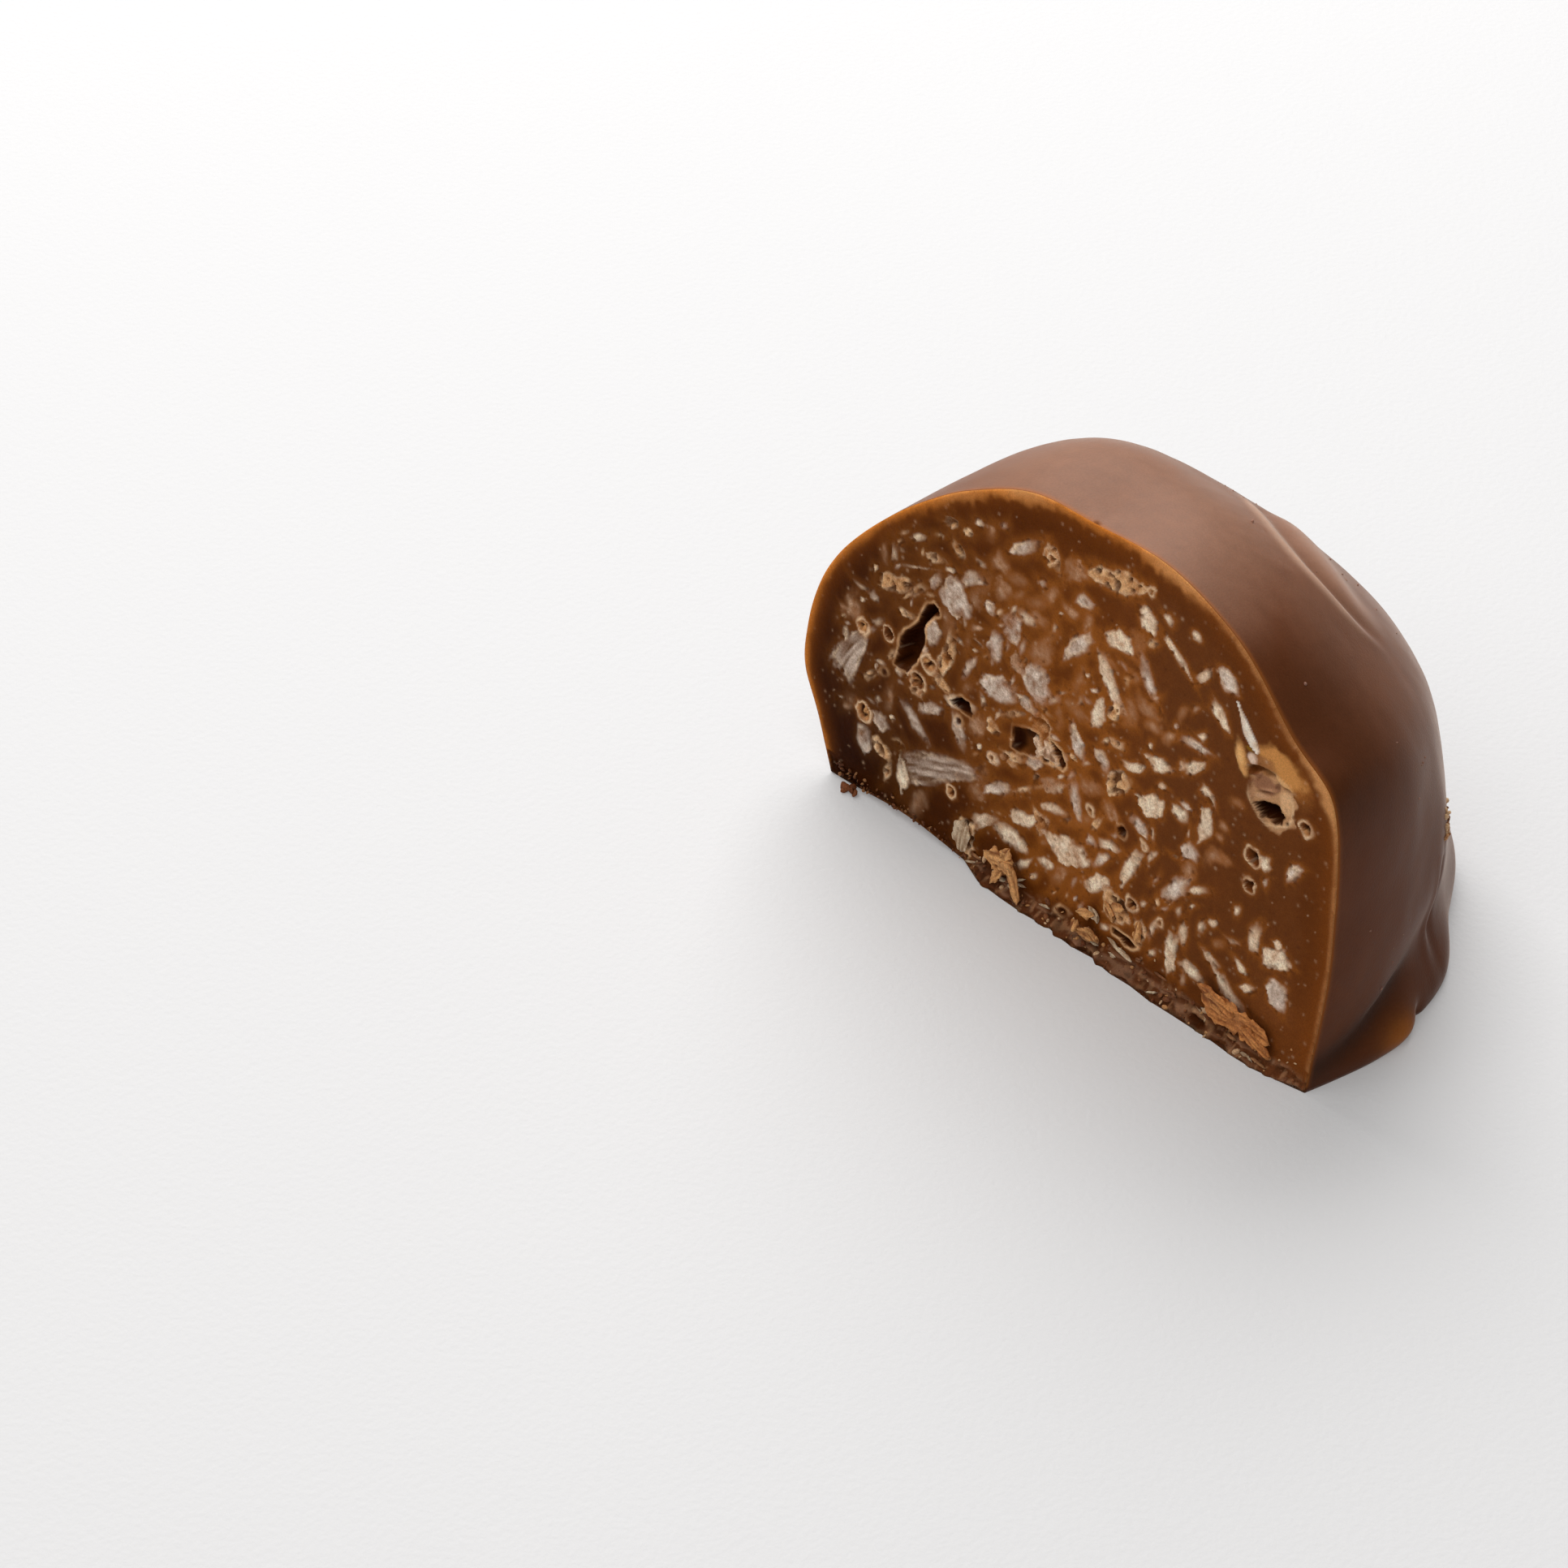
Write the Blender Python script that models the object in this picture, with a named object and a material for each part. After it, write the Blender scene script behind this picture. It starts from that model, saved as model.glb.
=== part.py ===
"""Half of a dome-shaped milk chocolate with a coconut filling, standing with its cut side forward.

The coating is a thick cup with a flat base, open at the cut. The filling is a solid half dome inside
it, with torn bubbles and proud coconut flakes on its cut face. Sizes are in millimetres until the
meshes are written in metres. X runs along the cut, Y runs back into the piece and Z is up.
"""

import math
import random
from dataclasses import dataclass

import bmesh
import bpy
import numpy as np
from mathutils import Matrix, Vector

MM = 0.001

# The crown's axis stands on the cut, a little right of its middle.
AXIS_X = 1.0
CROWN_HEIGHT = 21.85
CROWN_WALL = 1.5

# Upright sections through the axis, keyed by azimuth from +X in degrees. Each has the stations foot,
# belly, flank, shoulder, brow and top, as (distance from the axis, height, coating thickness).
SECTIONS = {
    0: ((14.2, 0.0, 1.7), (15.2, 8.5, 1.6), (14.9, 14.6, 1.5), (12.0, 17.4, 1.4), (8.3, 20.65, 1.5),
        (4.0, 22.0, 1.4)),
    50: ((15.9, 0.0, 2.3), (15.75, 7.5, 1.9), (14.65, 12.9, 1.7), (11.5, 17.2, 1.7), (8.2, 20.1, 1.7),
         (4.1, 22.0, 1.7)),
    95: ((18.4, 0.0, 2.2), (17.8, 6.5, 2.0), (16.1, 11.5, 1.9), (12.6, 16.1, 1.9), (8.5, 19.8, 1.9),
         (4.2, 21.95, 1.9)),
    140: ((17.7, 0.0, 2.1), (18.2, 5.6, 2.0), (16.9, 11.6, 2.0), (13.7, 16.5, 2.0), (9.2, 20.5, 2.0),
          (4.8, 22.1, 1.9)),
    180: ((17.1, 0.0, 1.9), (19.05, 5.9, 1.9), (17.5, 10.9, 2.0), (13.0, 16.0, 2.0), (8.0, 19.7, 1.9),
          (3.6, 21.6, 1.7)),
}
# How far along a section each station lies, with the crown last.
STATIONS = (0.0, 0.27, 0.44, 0.63, 0.79, 0.91, 1.0)

BASE_LAYER = 0.9
GAP = 0.3
AZIMUTH_STEPS = 42
DOME_STEPS = 24
BASE_STEPS = 11
FILLING_AZIMUTH_STEPS = 30
FILLING_DOME_STEPS = 16

# Where a ragged lip of the base layer stands forward of the cut, and how far.
LIP_FROM_X = -6.8
LIP_TO_X = 14.6
LIP_REACH = 0.55
LIP_RAGGEDNESS = 0.16
LIP_HEIGHT = 0.4
# The left end of the base is lifted off the ground in a shallow arch.
ARCH_X = -10.6
ARCH_HALF_WIDTH = 3.4
ARCH_HEIGHT = 0.45
ARCH_DEPTH = 2.2

# The fold that runs down the back of the right shoulder, as seen from above.
FOLD_START = (2.6, 8.6)
FOLD_MIDDLE = (6.6, 6.1)
FOLD_END = (11.6, 7.9)
FOLD_DEPTH = 0.42
FOLD_HALF_WIDTH = 0.75
LOBE_RISE = 0.12
LOBE_OFFSET = 2.0
LOBE_HALF_WIDTH = 1.3

COATING_COLOUR = (0.105, 0.042, 0.020, 1.0)
FILLING_COLOUR = (0.155, 0.056, 0.022, 1.0)
SCATTER_SEED = 41
SCATTERED_FLAKES = 34
# The half ellipse on the cut that the smaller flakes are drawn in.
SCATTER_X = -0.9
SCATTER_Z = 2.9
SCATTER_REACH = 12.4
SCATTER_CLIMB = 14.2


@dataclass(frozen=True)
class Swell:
    """A soft lump in the dome, or a hollow where the rise is negative."""

    azimuth: float
    height: float
    half_angle: float
    half_height: float
    rise: float


@dataclass(frozen=True)
class Spot:
    """Something on the cut face: its middle, its length and width, its tilt and its depth or rise."""

    x: float
    z: float
    length: float
    width: float
    tilt: float
    depth: float


SWELLS = (
    Swell(azimuth=40, height=0.6, half_angle=11, half_height=1.6, rise=0.75),
    Swell(azimuth=19, height=0.7, half_angle=10, half_height=1.2, rise=0.65),
    Swell(azimuth=31, height=3.9, half_angle=12, half_height=1.5, rise=-0.35),
    Swell(azimuth=38, height=8.4, half_angle=7, half_height=2.6, rise=0.25),
    Swell(azimuth=39, height=5.8, half_angle=2.4, half_height=0.9, rise=-0.45),
    Swell(azimuth=68, height=1.0, half_angle=12, half_height=2.6, rise=1.0),
    Swell(azimuth=122, height=1.0, half_angle=14, half_height=1.8, rise=0.4),
    Swell(azimuth=150, height=3.0, half_angle=9, half_height=2.4, rise=-0.25),
    Swell(azimuth=180, height=3.0, half_angle=14, half_height=1.7, rise=-0.38),
    Swell(azimuth=3, height=15.7, half_angle=6, half_height=0.9, rise=0.14),
)

# Torn bubbles and slits in the filling, the largest near the right shoulder.
BUBBLES = (
    Spot(12.0, 13.7, 3.0, 2.5, 90, 1.3),
    Spot(-9.2, 12.3, 1.4, 1.3, 0, 1.1),
    Spot(-10.9, 9.9, 3.4, 1.2, 63, 1.0),
    Spot(-7.3, 8.3, 1.4, 0.9, -20, 0.8),
    Spot(-2.6, 8.8, 2.4, 1.3, -8, 0.9),
    Spot(11.3, 10.3, 0.9, 0.9, 0, 0.6),
    Spot(3.8, 1.9, 1.9, 0.6, -15, 0.6),
    Spot(-13.9, 9.2, 0.9, 0.8, 0, 0.5),
    Spot(-13.8, 4.7, 0.9, 0.9, 0, 0.5),
    Spot(3.4, 7.3, 0.8, 0.7, 0, 0.5),
)

# The largest coconut pieces, which stand a little proud of the cut.
FLAKES = (
    Spot(-8.6, 4.2, 5.8, 1.3, 27, 0.22),
    Spot(-14.3, 7.4, 3.0, 1.0, 60, 0.18),
    Spot(-4.6, 10.6, 2.6, 1.2, 20, 0.22),
    Spot(-2.2, 12.2, 1.9, 1.4, 90, 0.22),
    Spot(-7.5, 13.9, 1.8, 1.6, 90, 0.2),
    Spot(-8.3, 10.3, 2.4, 0.8, 68, 0.2),
    Spot(-11.9, 12.5, 2.3, 0.8, 25, 0.18),
    Spot(2.3, 14.4, 2.2, 0.7, -60, 0.2),
    Spot(2.3, 18.9, 3.0, 0.8, 15, 0.16),
    Spot(0.0, 4.4, 2.2, 1.3, 10, 0.22),
    Spot(5.2, 9.6, 1.4, 1.0, 0, 0.2),
    Spot(6.8, 6.1, 2.2, 0.7, 52, 0.2),
    Spot(4.0, 5.5, 2.2, 0.5, 62, 0.18),
    Spot(9.9, 16.4, 2.0, 0.5, -52, 0.2),
    Spot(12.3, 4.4, 1.6, 1.3, 10, 0.2),
    Spot(-13.7, 3.0, 1.4, 1.0, 90, 0.18),
)

# A chocolate shaving and a curled crumb that cling to the foot of the cut.
SHAVING = Spot(10.8, 2.1, 4.2, 1.2, -4, 0.55)
CURL = Spot(-4.1, 2.0, 1.6, 1.1, 25, 0.6)
FLAKE_SIDES = 7
FLAKE_ROOT = 0.35
FLAKE_TAPER = 0.72


def smooth_through(keys, values, places):
    """Read a smooth curve through values, set at rising keys, at the given places."""
    keys = np.asarray(keys, float)
    values = np.asarray(values, float)
    places = np.asarray(places, float)
    slopes = np.gradient(values, keys, axis=0)
    start = np.clip(np.searchsorted(keys, places, side="right") - 1, 0, len(keys) - 2)
    spacing = (keys[start + 1] - keys[start]).reshape(-1, *[1] * (values.ndim - 1))
    share = (places - keys[start]).reshape(spacing.shape) / spacing
    return ((2 * share**3 - 3 * share**2 + 1) * values[start]
            + (share**3 - 2 * share**2 + share) * spacing * slopes[start]
            + (3 * share**2 - 2 * share**3) * values[start + 1]
            + (share**3 - share**2) * spacing * slopes[start + 1])


def bump(distance):
    """Return a bell that is 1 at no distance and fades out by about 2."""
    return np.exp(-np.square(distance))


def dome_sections(azimuths, steps):
    """Return distance, height and thickness for every azimuth and every step from foot to crown."""
    crown = (0.0, CROWN_HEIGHT, CROWN_WALL)
    sections = np.array([(*stations, crown) for stations in SECTIONS.values()])
    along = smooth_through(STATIONS, sections.transpose(1, 0, 2), np.linspace(0, 1, steps + 1))
    return smooth_through(list(SECTIONS), along.transpose(1, 0, 2), azimuths)


def outward(distance, height):
    """Return the outward direction across each section, in distance and height."""
    run = np.gradient(distance, axis=1)
    climb = np.gradient(height, axis=1)
    length = np.hypot(run, climb)
    across = climb / length
    up = -run / length
    across[:, -1] = 0.0
    up[:, -1] = 1.0
    return across, up


def lumps(azimuths, height):
    """Return how far the named swells push the dome out."""
    total = np.zeros_like(height)
    for swell in SWELLS:
        around = (azimuths[:, None] - swell.azimuth) / swell.half_angle
        above = (height - swell.height) / swell.half_height
        total += swell.rise * bump(np.hypot(around, above))
    return total


def fold(x, y):
    """Return the depth of the shoulder fold and the rise of the lobe behind it, from above."""
    start, middle, end = (np.array(point) for point in (FOLD_START, FOLD_MIDDLE, FOLD_END))
    steps = np.linspace(0, 1, 25)[:, None]
    line = (1 - steps)**2 * start + 2 * steps * (1 - steps) * middle + steps**2 * end
    run = np.gradient(line, axis=0)
    side = np.stack([-run[:, 1], run[:, 0]], 1) / np.linalg.norm(run, axis=1)[:, None]
    away = np.stack([x, y], -1)[..., None, :] - line
    nearest = np.argmin(np.linalg.norm(away, axis=-1), axis=-1)
    offset = np.take_along_axis(np.sum(away * side, -1), nearest[..., None], -1)[..., 0]
    spare = np.take_along_axis(np.linalg.norm(away, axis=-1), nearest[..., None], -1)[..., 0]
    beyond_ends = np.sqrt(np.maximum(spare**2 - offset**2, 0))
    fade = bump(beyond_ends / 1.5)
    groove = -FOLD_DEPTH * bump(offset / FOLD_HALF_WIDTH)
    lobe = LOBE_RISE * bump((offset - LOBE_OFFSET) / LOBE_HALF_WIDTH)
    return (groove + lobe) * fade


def with_base(azimuths, distance, height, floor):
    """Join a flat base, made of rings from the axis out to the foot, to the dome above it."""
    shares = np.linspace(0, 1, BASE_STEPS + 1)[:-1]
    base_distance = distance[:, :1] * shares
    base_height = np.full_like(base_distance, floor)
    distance = np.concatenate([base_distance, distance], 1)
    height = np.concatenate([base_height, height], 1)
    angle = np.radians(azimuths)[:, None]
    sine = np.where((azimuths == 0) | (azimuths == 180), 0.0, np.sin(np.radians(azimuths)))[:, None]
    return np.stack([AXIS_X + distance * np.cos(angle), distance * sine, height], -1)


def coating_outside(azimuths, steps):
    """Return the grid of the coating's outer skin, from the middle of its base to the crown."""
    distance, height, _ = np.moveaxis(dome_sections(azimuths, steps), -1, 0)
    across, up = outward(distance, height)
    angle = np.radians(azimuths)[:, None]
    push = lumps(azimuths, height)
    push += fold(AXIS_X + distance * np.cos(angle), distance * np.sin(angle))
    distance = distance + push * across
    height = height + push * up * np.clip(height, 0, 1)
    distance[:, -1] = 0.0
    height[:, -1] = CROWN_HEIGHT
    grid = with_base(azimuths, distance, height, 0.0)
    return with_ragged_base(grid)


def with_ragged_base(grid):
    """Push the base's front edge forward in a ragged lip, and lift its left end in an arch."""
    x, y, z = np.moveaxis(grid, -1, 0)
    inside = np.clip((x - LIP_FROM_X) / 1.5, 0, 1) * np.clip((LIP_TO_X - x) / 1.5, 0, 1)
    ragged = np.sin(2.3 * x) + np.sin(5.1 * x + 1.0)
    reach = (LIP_REACH + LIP_RAGGEDNESS * ragged) * inside
    lip = reach * bump(z / LIP_HEIGHT) * bump(y / 0.7)
    arch = bump((x - ARCH_X) / ARCH_HALF_WIDTH) * bump(y / ARCH_DEPTH) * bump(z / 1.2)
    return np.stack([x, y - lip, z + ARCH_HEIGHT * arch], -1)


def coating_inside(azimuths, steps, inset):
    """Return the grid of the hollow's wall, moved in by the inset."""
    distance, height, wall = np.moveaxis(dome_sections(azimuths, steps), -1, 0)
    across, up = outward(distance, height)
    floor = BASE_LAYER + inset
    distance = distance - (wall + inset) * across
    height = height - (wall + inset) * up * np.clip(height / 3, 0, 1)
    crown = CROWN_HEIGHT - CROWN_WALL - inset
    distance[:, -1] = 0.0
    height[:, -1] = crown
    height = floor + height * (1 - floor / crown)
    return with_base(azimuths, distance, height, floor)


def add_grid(mesh, grid, outwards):
    """Add a half dome's skin to the mesh, closed at both ends of its axis, and return its rim."""
    rows, columns = grid.shape[:2]
    bottom = mesh.verts.new(grid[0, 0])
    crown = mesh.verts.new(grid[0, -1])
    points = [[bottom, *(mesh.verts.new(grid[i, j]) for j in range(1, columns - 1)), crown]
              for i in range(rows)]
    for left, right in zip(points, points[1:]):
        for j in range(columns - 1):
            corners = [left[j], right[j], right[j + 1], left[j + 1]]
            corners = list(dict.fromkeys(corners))
            mesh.faces.new(corners if not outwards else corners[::-1])
    return points[0] + points[-1][-2:0:-1]


def join_rims(mesh, outer, inner):
    """Close the cut between two rims of the same number of points."""
    count = len(outer)
    for i in range(count):
        following = (i + 1) % count
        mesh.faces.new([outer[i], outer[following], inner[following], inner[i]])


def finished_object(name, mesh, colour, roughness):
    """Write the mesh in metres as a named object with its own material."""
    bmesh.ops.recalc_face_normals(mesh, faces=mesh.faces)
    bmesh.ops.transform(mesh, matrix=Matrix.Scale(MM, 4), verts=mesh.verts)
    data = bpy.data.meshes.new(name)
    mesh.to_mesh(data)
    mesh.free()
    data.shade_smooth()
    data.set_sharp_from_angle(angle=math.radians(50))
    material = bpy.data.materials.new(name)
    material.use_nodes = True
    shader = material.node_tree.nodes["Principled BSDF"]
    shader.inputs["Base Color"].default_value = colour
    shader.inputs["Roughness"].default_value = roughness
    shader.inputs["Metallic"].default_value = 0.0
    data.materials.append(material)
    made = bpy.data.objects.new(name, data)
    bpy.context.scene.collection.objects.link(made)
    return made


def make_coating():
    """Build the cup of milk chocolate, open at the cut."""
    azimuths = np.linspace(0, 180, AZIMUTH_STEPS + 1)
    mesh = bmesh.new()
    outer = add_grid(mesh, coating_outside(azimuths, DOME_STEPS), outwards=True)
    inner = add_grid(mesh, coating_inside(azimuths, DOME_STEPS, 0.0), outwards=False)
    join_rims(mesh, outer, inner)
    return finished_object("coating", mesh, COATING_COLOUR, 0.42)


def make_filling_core():
    """Build the plain half dome of filling, with a flat cut face."""
    azimuths = np.linspace(0, 180, FILLING_AZIMUTH_STEPS + 1)
    mesh = bmesh.new()
    rim = add_grid(mesh, coating_inside(azimuths, FILLING_DOME_STEPS, GAP), outwards=True)
    mesh.faces.new(rim)
    return finished_object("filling", mesh, FILLING_COLOUR, 0.5)


def tool_object(name, mesh, collection):
    """Put a shape in metres into a collection that a Boolean reads."""
    bmesh.ops.recalc_face_normals(mesh, faces=mesh.faces)
    bmesh.ops.transform(mesh, matrix=Matrix.Scale(MM, 4), verts=mesh.verts)
    data = bpy.data.meshes.new(name)
    mesh.to_mesh(data)
    mesh.free()
    collection.objects.link(bpy.data.objects.new(name, data))


def on_the_face(spot):
    """Return the matrix that lays a shape, drawn in X and Z, at a spot on the cut."""
    place = Matrix.Translation((spot.x, 0.0, spot.z))
    return place @ Matrix.Rotation(math.radians(-spot.tilt), 4, "Y")


def add_bubble(spot, collection):
    """Add the round tool that hollows out a bubble."""
    mesh = bmesh.new()
    bmesh.ops.create_icosphere(mesh, subdivisions=2, radius=1.0)
    size = Matrix.Diagonal((spot.length / 2, spot.depth, spot.width / 2, 1.0))
    bmesh.ops.transform(mesh, matrix=on_the_face(spot) @ size, verts=mesh.verts)
    tool_object("bubble", mesh, collection)


def add_flake(spot, rng, collection):
    """Add a flat chip with an uneven outline, rooted in the filling and narrower at its top."""
    mesh = bmesh.new()
    outline = []
    for i in range(FLAKE_SIDES):
        angle = math.tau * (i + rng.uniform(-0.25, 0.25)) / FLAKE_SIDES
        reach = rng.uniform(0.85, 1.05)
        outline.append((reach * spot.length / 2 * math.cos(angle), reach * spot.width / 2 * math.sin(angle)))
    root = [mesh.verts.new((x, FLAKE_ROOT, z)) for x, z in outline]
    top = [mesh.verts.new((x * FLAKE_TAPER, -spot.depth * rng.uniform(0.8, 1.1), z * FLAKE_TAPER))
           for x, z in outline]
    crest = mesh.verts.new((0.0, -spot.depth * 1.1, 0.0))
    mesh.faces.new(root)
    for i in range(FLAKE_SIDES):
        following = (i + 1) % FLAKE_SIDES
        mesh.faces.new([root[i], root[following], top[following], top[i]])
        mesh.faces.new([top[i], top[following], crest])
    bmesh.ops.transform(mesh, matrix=on_the_face(spot), verts=mesh.verts)
    tool_object("flake", mesh, collection)


def scattered_flakes(rng):
    """Draw the smaller flakes, each clear of the bubbles, the large flakes and one another."""
    placed = [*BUBBLES, *FLAKES, SHAVING, CURL]
    added = []
    while len(added) < SCATTERED_FLAKES:
        length = rng.uniform(0.9, 1.7)
        angle = rng.uniform(0, math.pi)
        reach = math.sqrt(rng.random())
        x = SCATTER_X + SCATTER_REACH * reach * math.cos(angle)
        z = SCATTER_Z + SCATTER_CLIMB * reach * math.sin(angle)
        spot = Spot(x, z, length, length * rng.uniform(0.4, 0.75), rng.uniform(-90, 90), rng.uniform(0.14, 0.22))
        clear = all(math.hypot(x - other.x, z - other.z) > (length + other.length) / 2 + 0.3
                    for other in placed)
        if clear:
            placed.append(spot)
            added.append(spot)
    return added


def apply_boolean(target, operation, collection):
    """Apply one Boolean of a whole collection to the target, and remove the collection's objects."""
    modifier = target.modifiers.new(operation.lower(), "BOOLEAN")
    modifier.operation = operation
    modifier.operand_type = "COLLECTION"
    modifier.collection = collection
    bpy.context.view_layer.update()
    evaluated = target.evaluated_get(bpy.context.evaluated_depsgraph_get())
    result = bpy.data.meshes.new_from_object(evaluated)
    target.modifiers.clear()
    target.data = result
    for tool in list(collection.objects):
        bpy.data.objects.remove(tool, do_unlink=True)
    bpy.data.collections.remove(collection)


def tool_collection(name):
    """Return a new collection in the scene for a Boolean's shapes."""
    collection = bpy.data.collections.new(name)
    bpy.context.scene.collection.children.link(collection)
    return collection


def make_filling():
    """Build the filling: the core, its torn bubbles, and the flakes fused to its cut face."""
    rng = random.Random(SCATTER_SEED)
    filling = make_filling_core()
    bubbles = tool_collection("bubbles")
    for spot in BUBBLES:
        add_bubble(spot, bubbles)
    apply_boolean(filling, "DIFFERENCE", bubbles)
    flakes = tool_collection("flakes")
    for spot in (*FLAKES, *scattered_flakes(rng), SHAVING, CURL):
        add_flake(spot, rng, flakes)
    apply_boolean(filling, "UNION", flakes)
    return filling


def stand_on_origin(pieces):
    """Parent the pieces to an empty that puts the middle of their footprint on the origin."""
    corners = np.array([piece.matrix_world @ vertex.co for piece in pieces for vertex in piece.data.vertices])
    low = corners.min(axis=0)
    high = corners.max(axis=0)
    middle = Vector((-(low[0] + high[0]) / 2, -(low[1] + high[1]) / 2, -low[2]))
    stand = bpy.data.objects.new("stand", None)
    bpy.context.scene.collection.objects.link(stand)
    stand.location = middle
    for piece in pieces:
        piece.parent = stand


def main():
    """Clear the scene and build the cut chocolate."""
    for old in list(bpy.data.objects):
        bpy.data.objects.remove(old, do_unlink=True)
    pieces = [make_coating(), make_filling()]
    stand_on_origin(pieces)


main()
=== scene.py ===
"""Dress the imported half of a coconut-filled milk chocolate.

The coating becomes a finely modelled skin, and the filling becomes a dense relief of its cut face with
coconut, torn bubbles and crumbs. Forms are worked out in millimetres in the piece's own drawing frame:
X along the cut, Y back into the piece, Z up, with the cut's base line through the origin.
"""

import logging
import math
import random
from dataclasses import dataclass, field
from enum import Enum

import bmesh
import bpy
import numpy as np
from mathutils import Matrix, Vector
from mathutils.kdtree import KDTree


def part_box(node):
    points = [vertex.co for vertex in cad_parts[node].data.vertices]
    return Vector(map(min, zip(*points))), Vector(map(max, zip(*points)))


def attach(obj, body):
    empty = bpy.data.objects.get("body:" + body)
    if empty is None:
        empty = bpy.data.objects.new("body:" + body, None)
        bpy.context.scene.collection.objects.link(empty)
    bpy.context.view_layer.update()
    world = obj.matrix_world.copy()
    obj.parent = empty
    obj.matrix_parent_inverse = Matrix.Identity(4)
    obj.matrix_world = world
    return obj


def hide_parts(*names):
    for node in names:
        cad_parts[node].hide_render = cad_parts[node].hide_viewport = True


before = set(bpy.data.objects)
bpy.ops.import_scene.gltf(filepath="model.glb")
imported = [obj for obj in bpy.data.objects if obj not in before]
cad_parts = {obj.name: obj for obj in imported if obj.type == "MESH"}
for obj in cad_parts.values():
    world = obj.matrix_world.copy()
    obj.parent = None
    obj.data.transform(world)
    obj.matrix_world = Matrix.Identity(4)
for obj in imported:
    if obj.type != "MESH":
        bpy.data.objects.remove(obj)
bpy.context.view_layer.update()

MM = 0.001
LATTICE = 128
LOG = logging.getLogger("scene")
Colour = tuple[float, float, float]
Array = np.ndarray


def tone(red: float, green: float, blue: float) -> Colour:
    """Return the linear colour of a display colour given from 0 to 255."""
    shares = (channel / 255 for channel in (red, green, blue))
    return tuple(s / 12.92 if s <= 0.04045 else ((s + 0.055) / 1.055) ** 2.4 for s in shares)


def grey(level: float) -> Colour:
    """Return a linear grey, which can be brighter than 1."""
    return level, level, level


def bump(distance: Array) -> Array:
    """Return a bell that is 1 at no distance and has faded out by about 2."""
    return np.exp(-np.square(distance))


def ramp(low: float, high: float, at: Array) -> Array:
    """Return a smooth step from 0 at low to 1 at high."""
    share = np.clip((at - low) / (high - low), 0, 1)
    return share * share * (3 - 2 * share)


def smooth_through(keys: Array, values: Array, places: Array) -> Array:
    """Read a smooth curve through values set at rising keys.

    Args:
        keys: Where the values stand, rising.
        values: One value, or one array of values, for each key.
        places: Where to read the curve.

    Returns:
        The curve's values at the places.
    """
    keys = np.asarray(keys, float)
    values = np.asarray(values, float)
    places = np.asarray(places, float)
    slopes = np.gradient(values, keys, axis=0)
    start = np.clip(np.searchsorted(keys, places, side="right") - 1, 0, len(keys) - 2)
    spacing = (keys[start + 1] - keys[start]).reshape(-1, *[1] * (values.ndim - 1))
    share = (places - keys[start]).reshape(spacing.shape) / spacing
    return ((2 * share**3 - 3 * share**2 + 1) * values[start]
            + (share**3 - 2 * share**2 + share) * spacing * slopes[start]
            + (3 * share**2 - 2 * share**3) * values[start + 1]
            + (share**3 - share**2) * spacing * slopes[start + 1])


def mixed(first: Colour | Array, second: Colour | Array, share: Array) -> Array:
    """Return a colour at each place, from the first to the second as the share rises.

    Args:
        first: The colour where the share is 0.
        second: The colour where the share is 1.
        share: How much of the second colour there is at each place.

    Returns:
        The colours.
    """
    share = np.clip(share, 0, 1)[..., None]
    return np.asarray(first) * (1 - share) + np.asarray(second) * share


class Noise:
    """Smooth seeded unevenness over a plane."""

    def __init__(self, seed: int) -> None:
        """Draw the lattice that the noise is read from."""
        self.lattice = np.random.default_rng(seed).random((LATTICE, LATTICE))

    def at(self, u: Array, v: Array, size: float) -> Array:
        """Return noise from -1 to 1.

        Args:
            u: First coordinate.
            v: Second coordinate.
            size: Size of the noise's lumps, in the coordinates' unit.

        Returns:
            The noise at each place.
        """
        u, v = np.asarray(u) / size, np.asarray(v) / size
        i, j = np.floor(u).astype(int), np.floor(v).astype(int)
        a, b = u - i, v - j
        a, b = a * a * (3 - 2 * a), b * b * (3 - 2 * b)
        i0, i1, j0, j1 = (place % LATTICE for place in (i, i + 1, j, j + 1))
        low = self.lattice[i0, j0] * (1 - a) + self.lattice[i1, j0] * a
        high = self.lattice[i0, j1] * (1 - a) + self.lattice[i1, j1] * a
        return 2 * (low * (1 - b) + high * b) - 1

    def layered(self, u: Array, v: Array, size: float, layers: int = 3) -> Array:
        """Return noise in layers, each half the size and half the strength of the last."""
        parts = [self.at(u + 7.3 * k, v + 3.1 * k, size / 2**k) / 2**k for k in range(layers)]
        return sum(parts) / sum(0.5**k for k in range(layers))


class Value:
    """A socket that carries a number, with its arithmetic written as Python operators."""

    def __init__(self, paint: "Paint", socket: bpy.types.NodeSocket) -> None:
        """Keep the tree and the socket."""
        self.paint = paint
        self.socket = socket

    def _with(self, operation: str, first: object, second: object) -> "Value":
        """Add a Math node for one operation."""
        made = self.paint.node("ShaderNodeMath", {"operation": operation}, {0: first, 1: second})
        return Value(self.paint, made.outputs[0])

    def __add__(self, other: "Value | float") -> "Value":
        """Return the sum."""
        return self._with("ADD", self, other)

    __radd__ = __add__

    def __sub__(self, other: "Value | float") -> "Value":
        """Return the difference."""
        return self._with("SUBTRACT", self, other)

    def __rsub__(self, other: "Value | float") -> "Value":
        """Return the difference from a number."""
        return self._with("SUBTRACT", other, self)

    def __mul__(self, other: "Value | float") -> "Value":
        """Return the product."""
        return self._with("MULTIPLY", self, other)

    __rmul__ = __mul__


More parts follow.
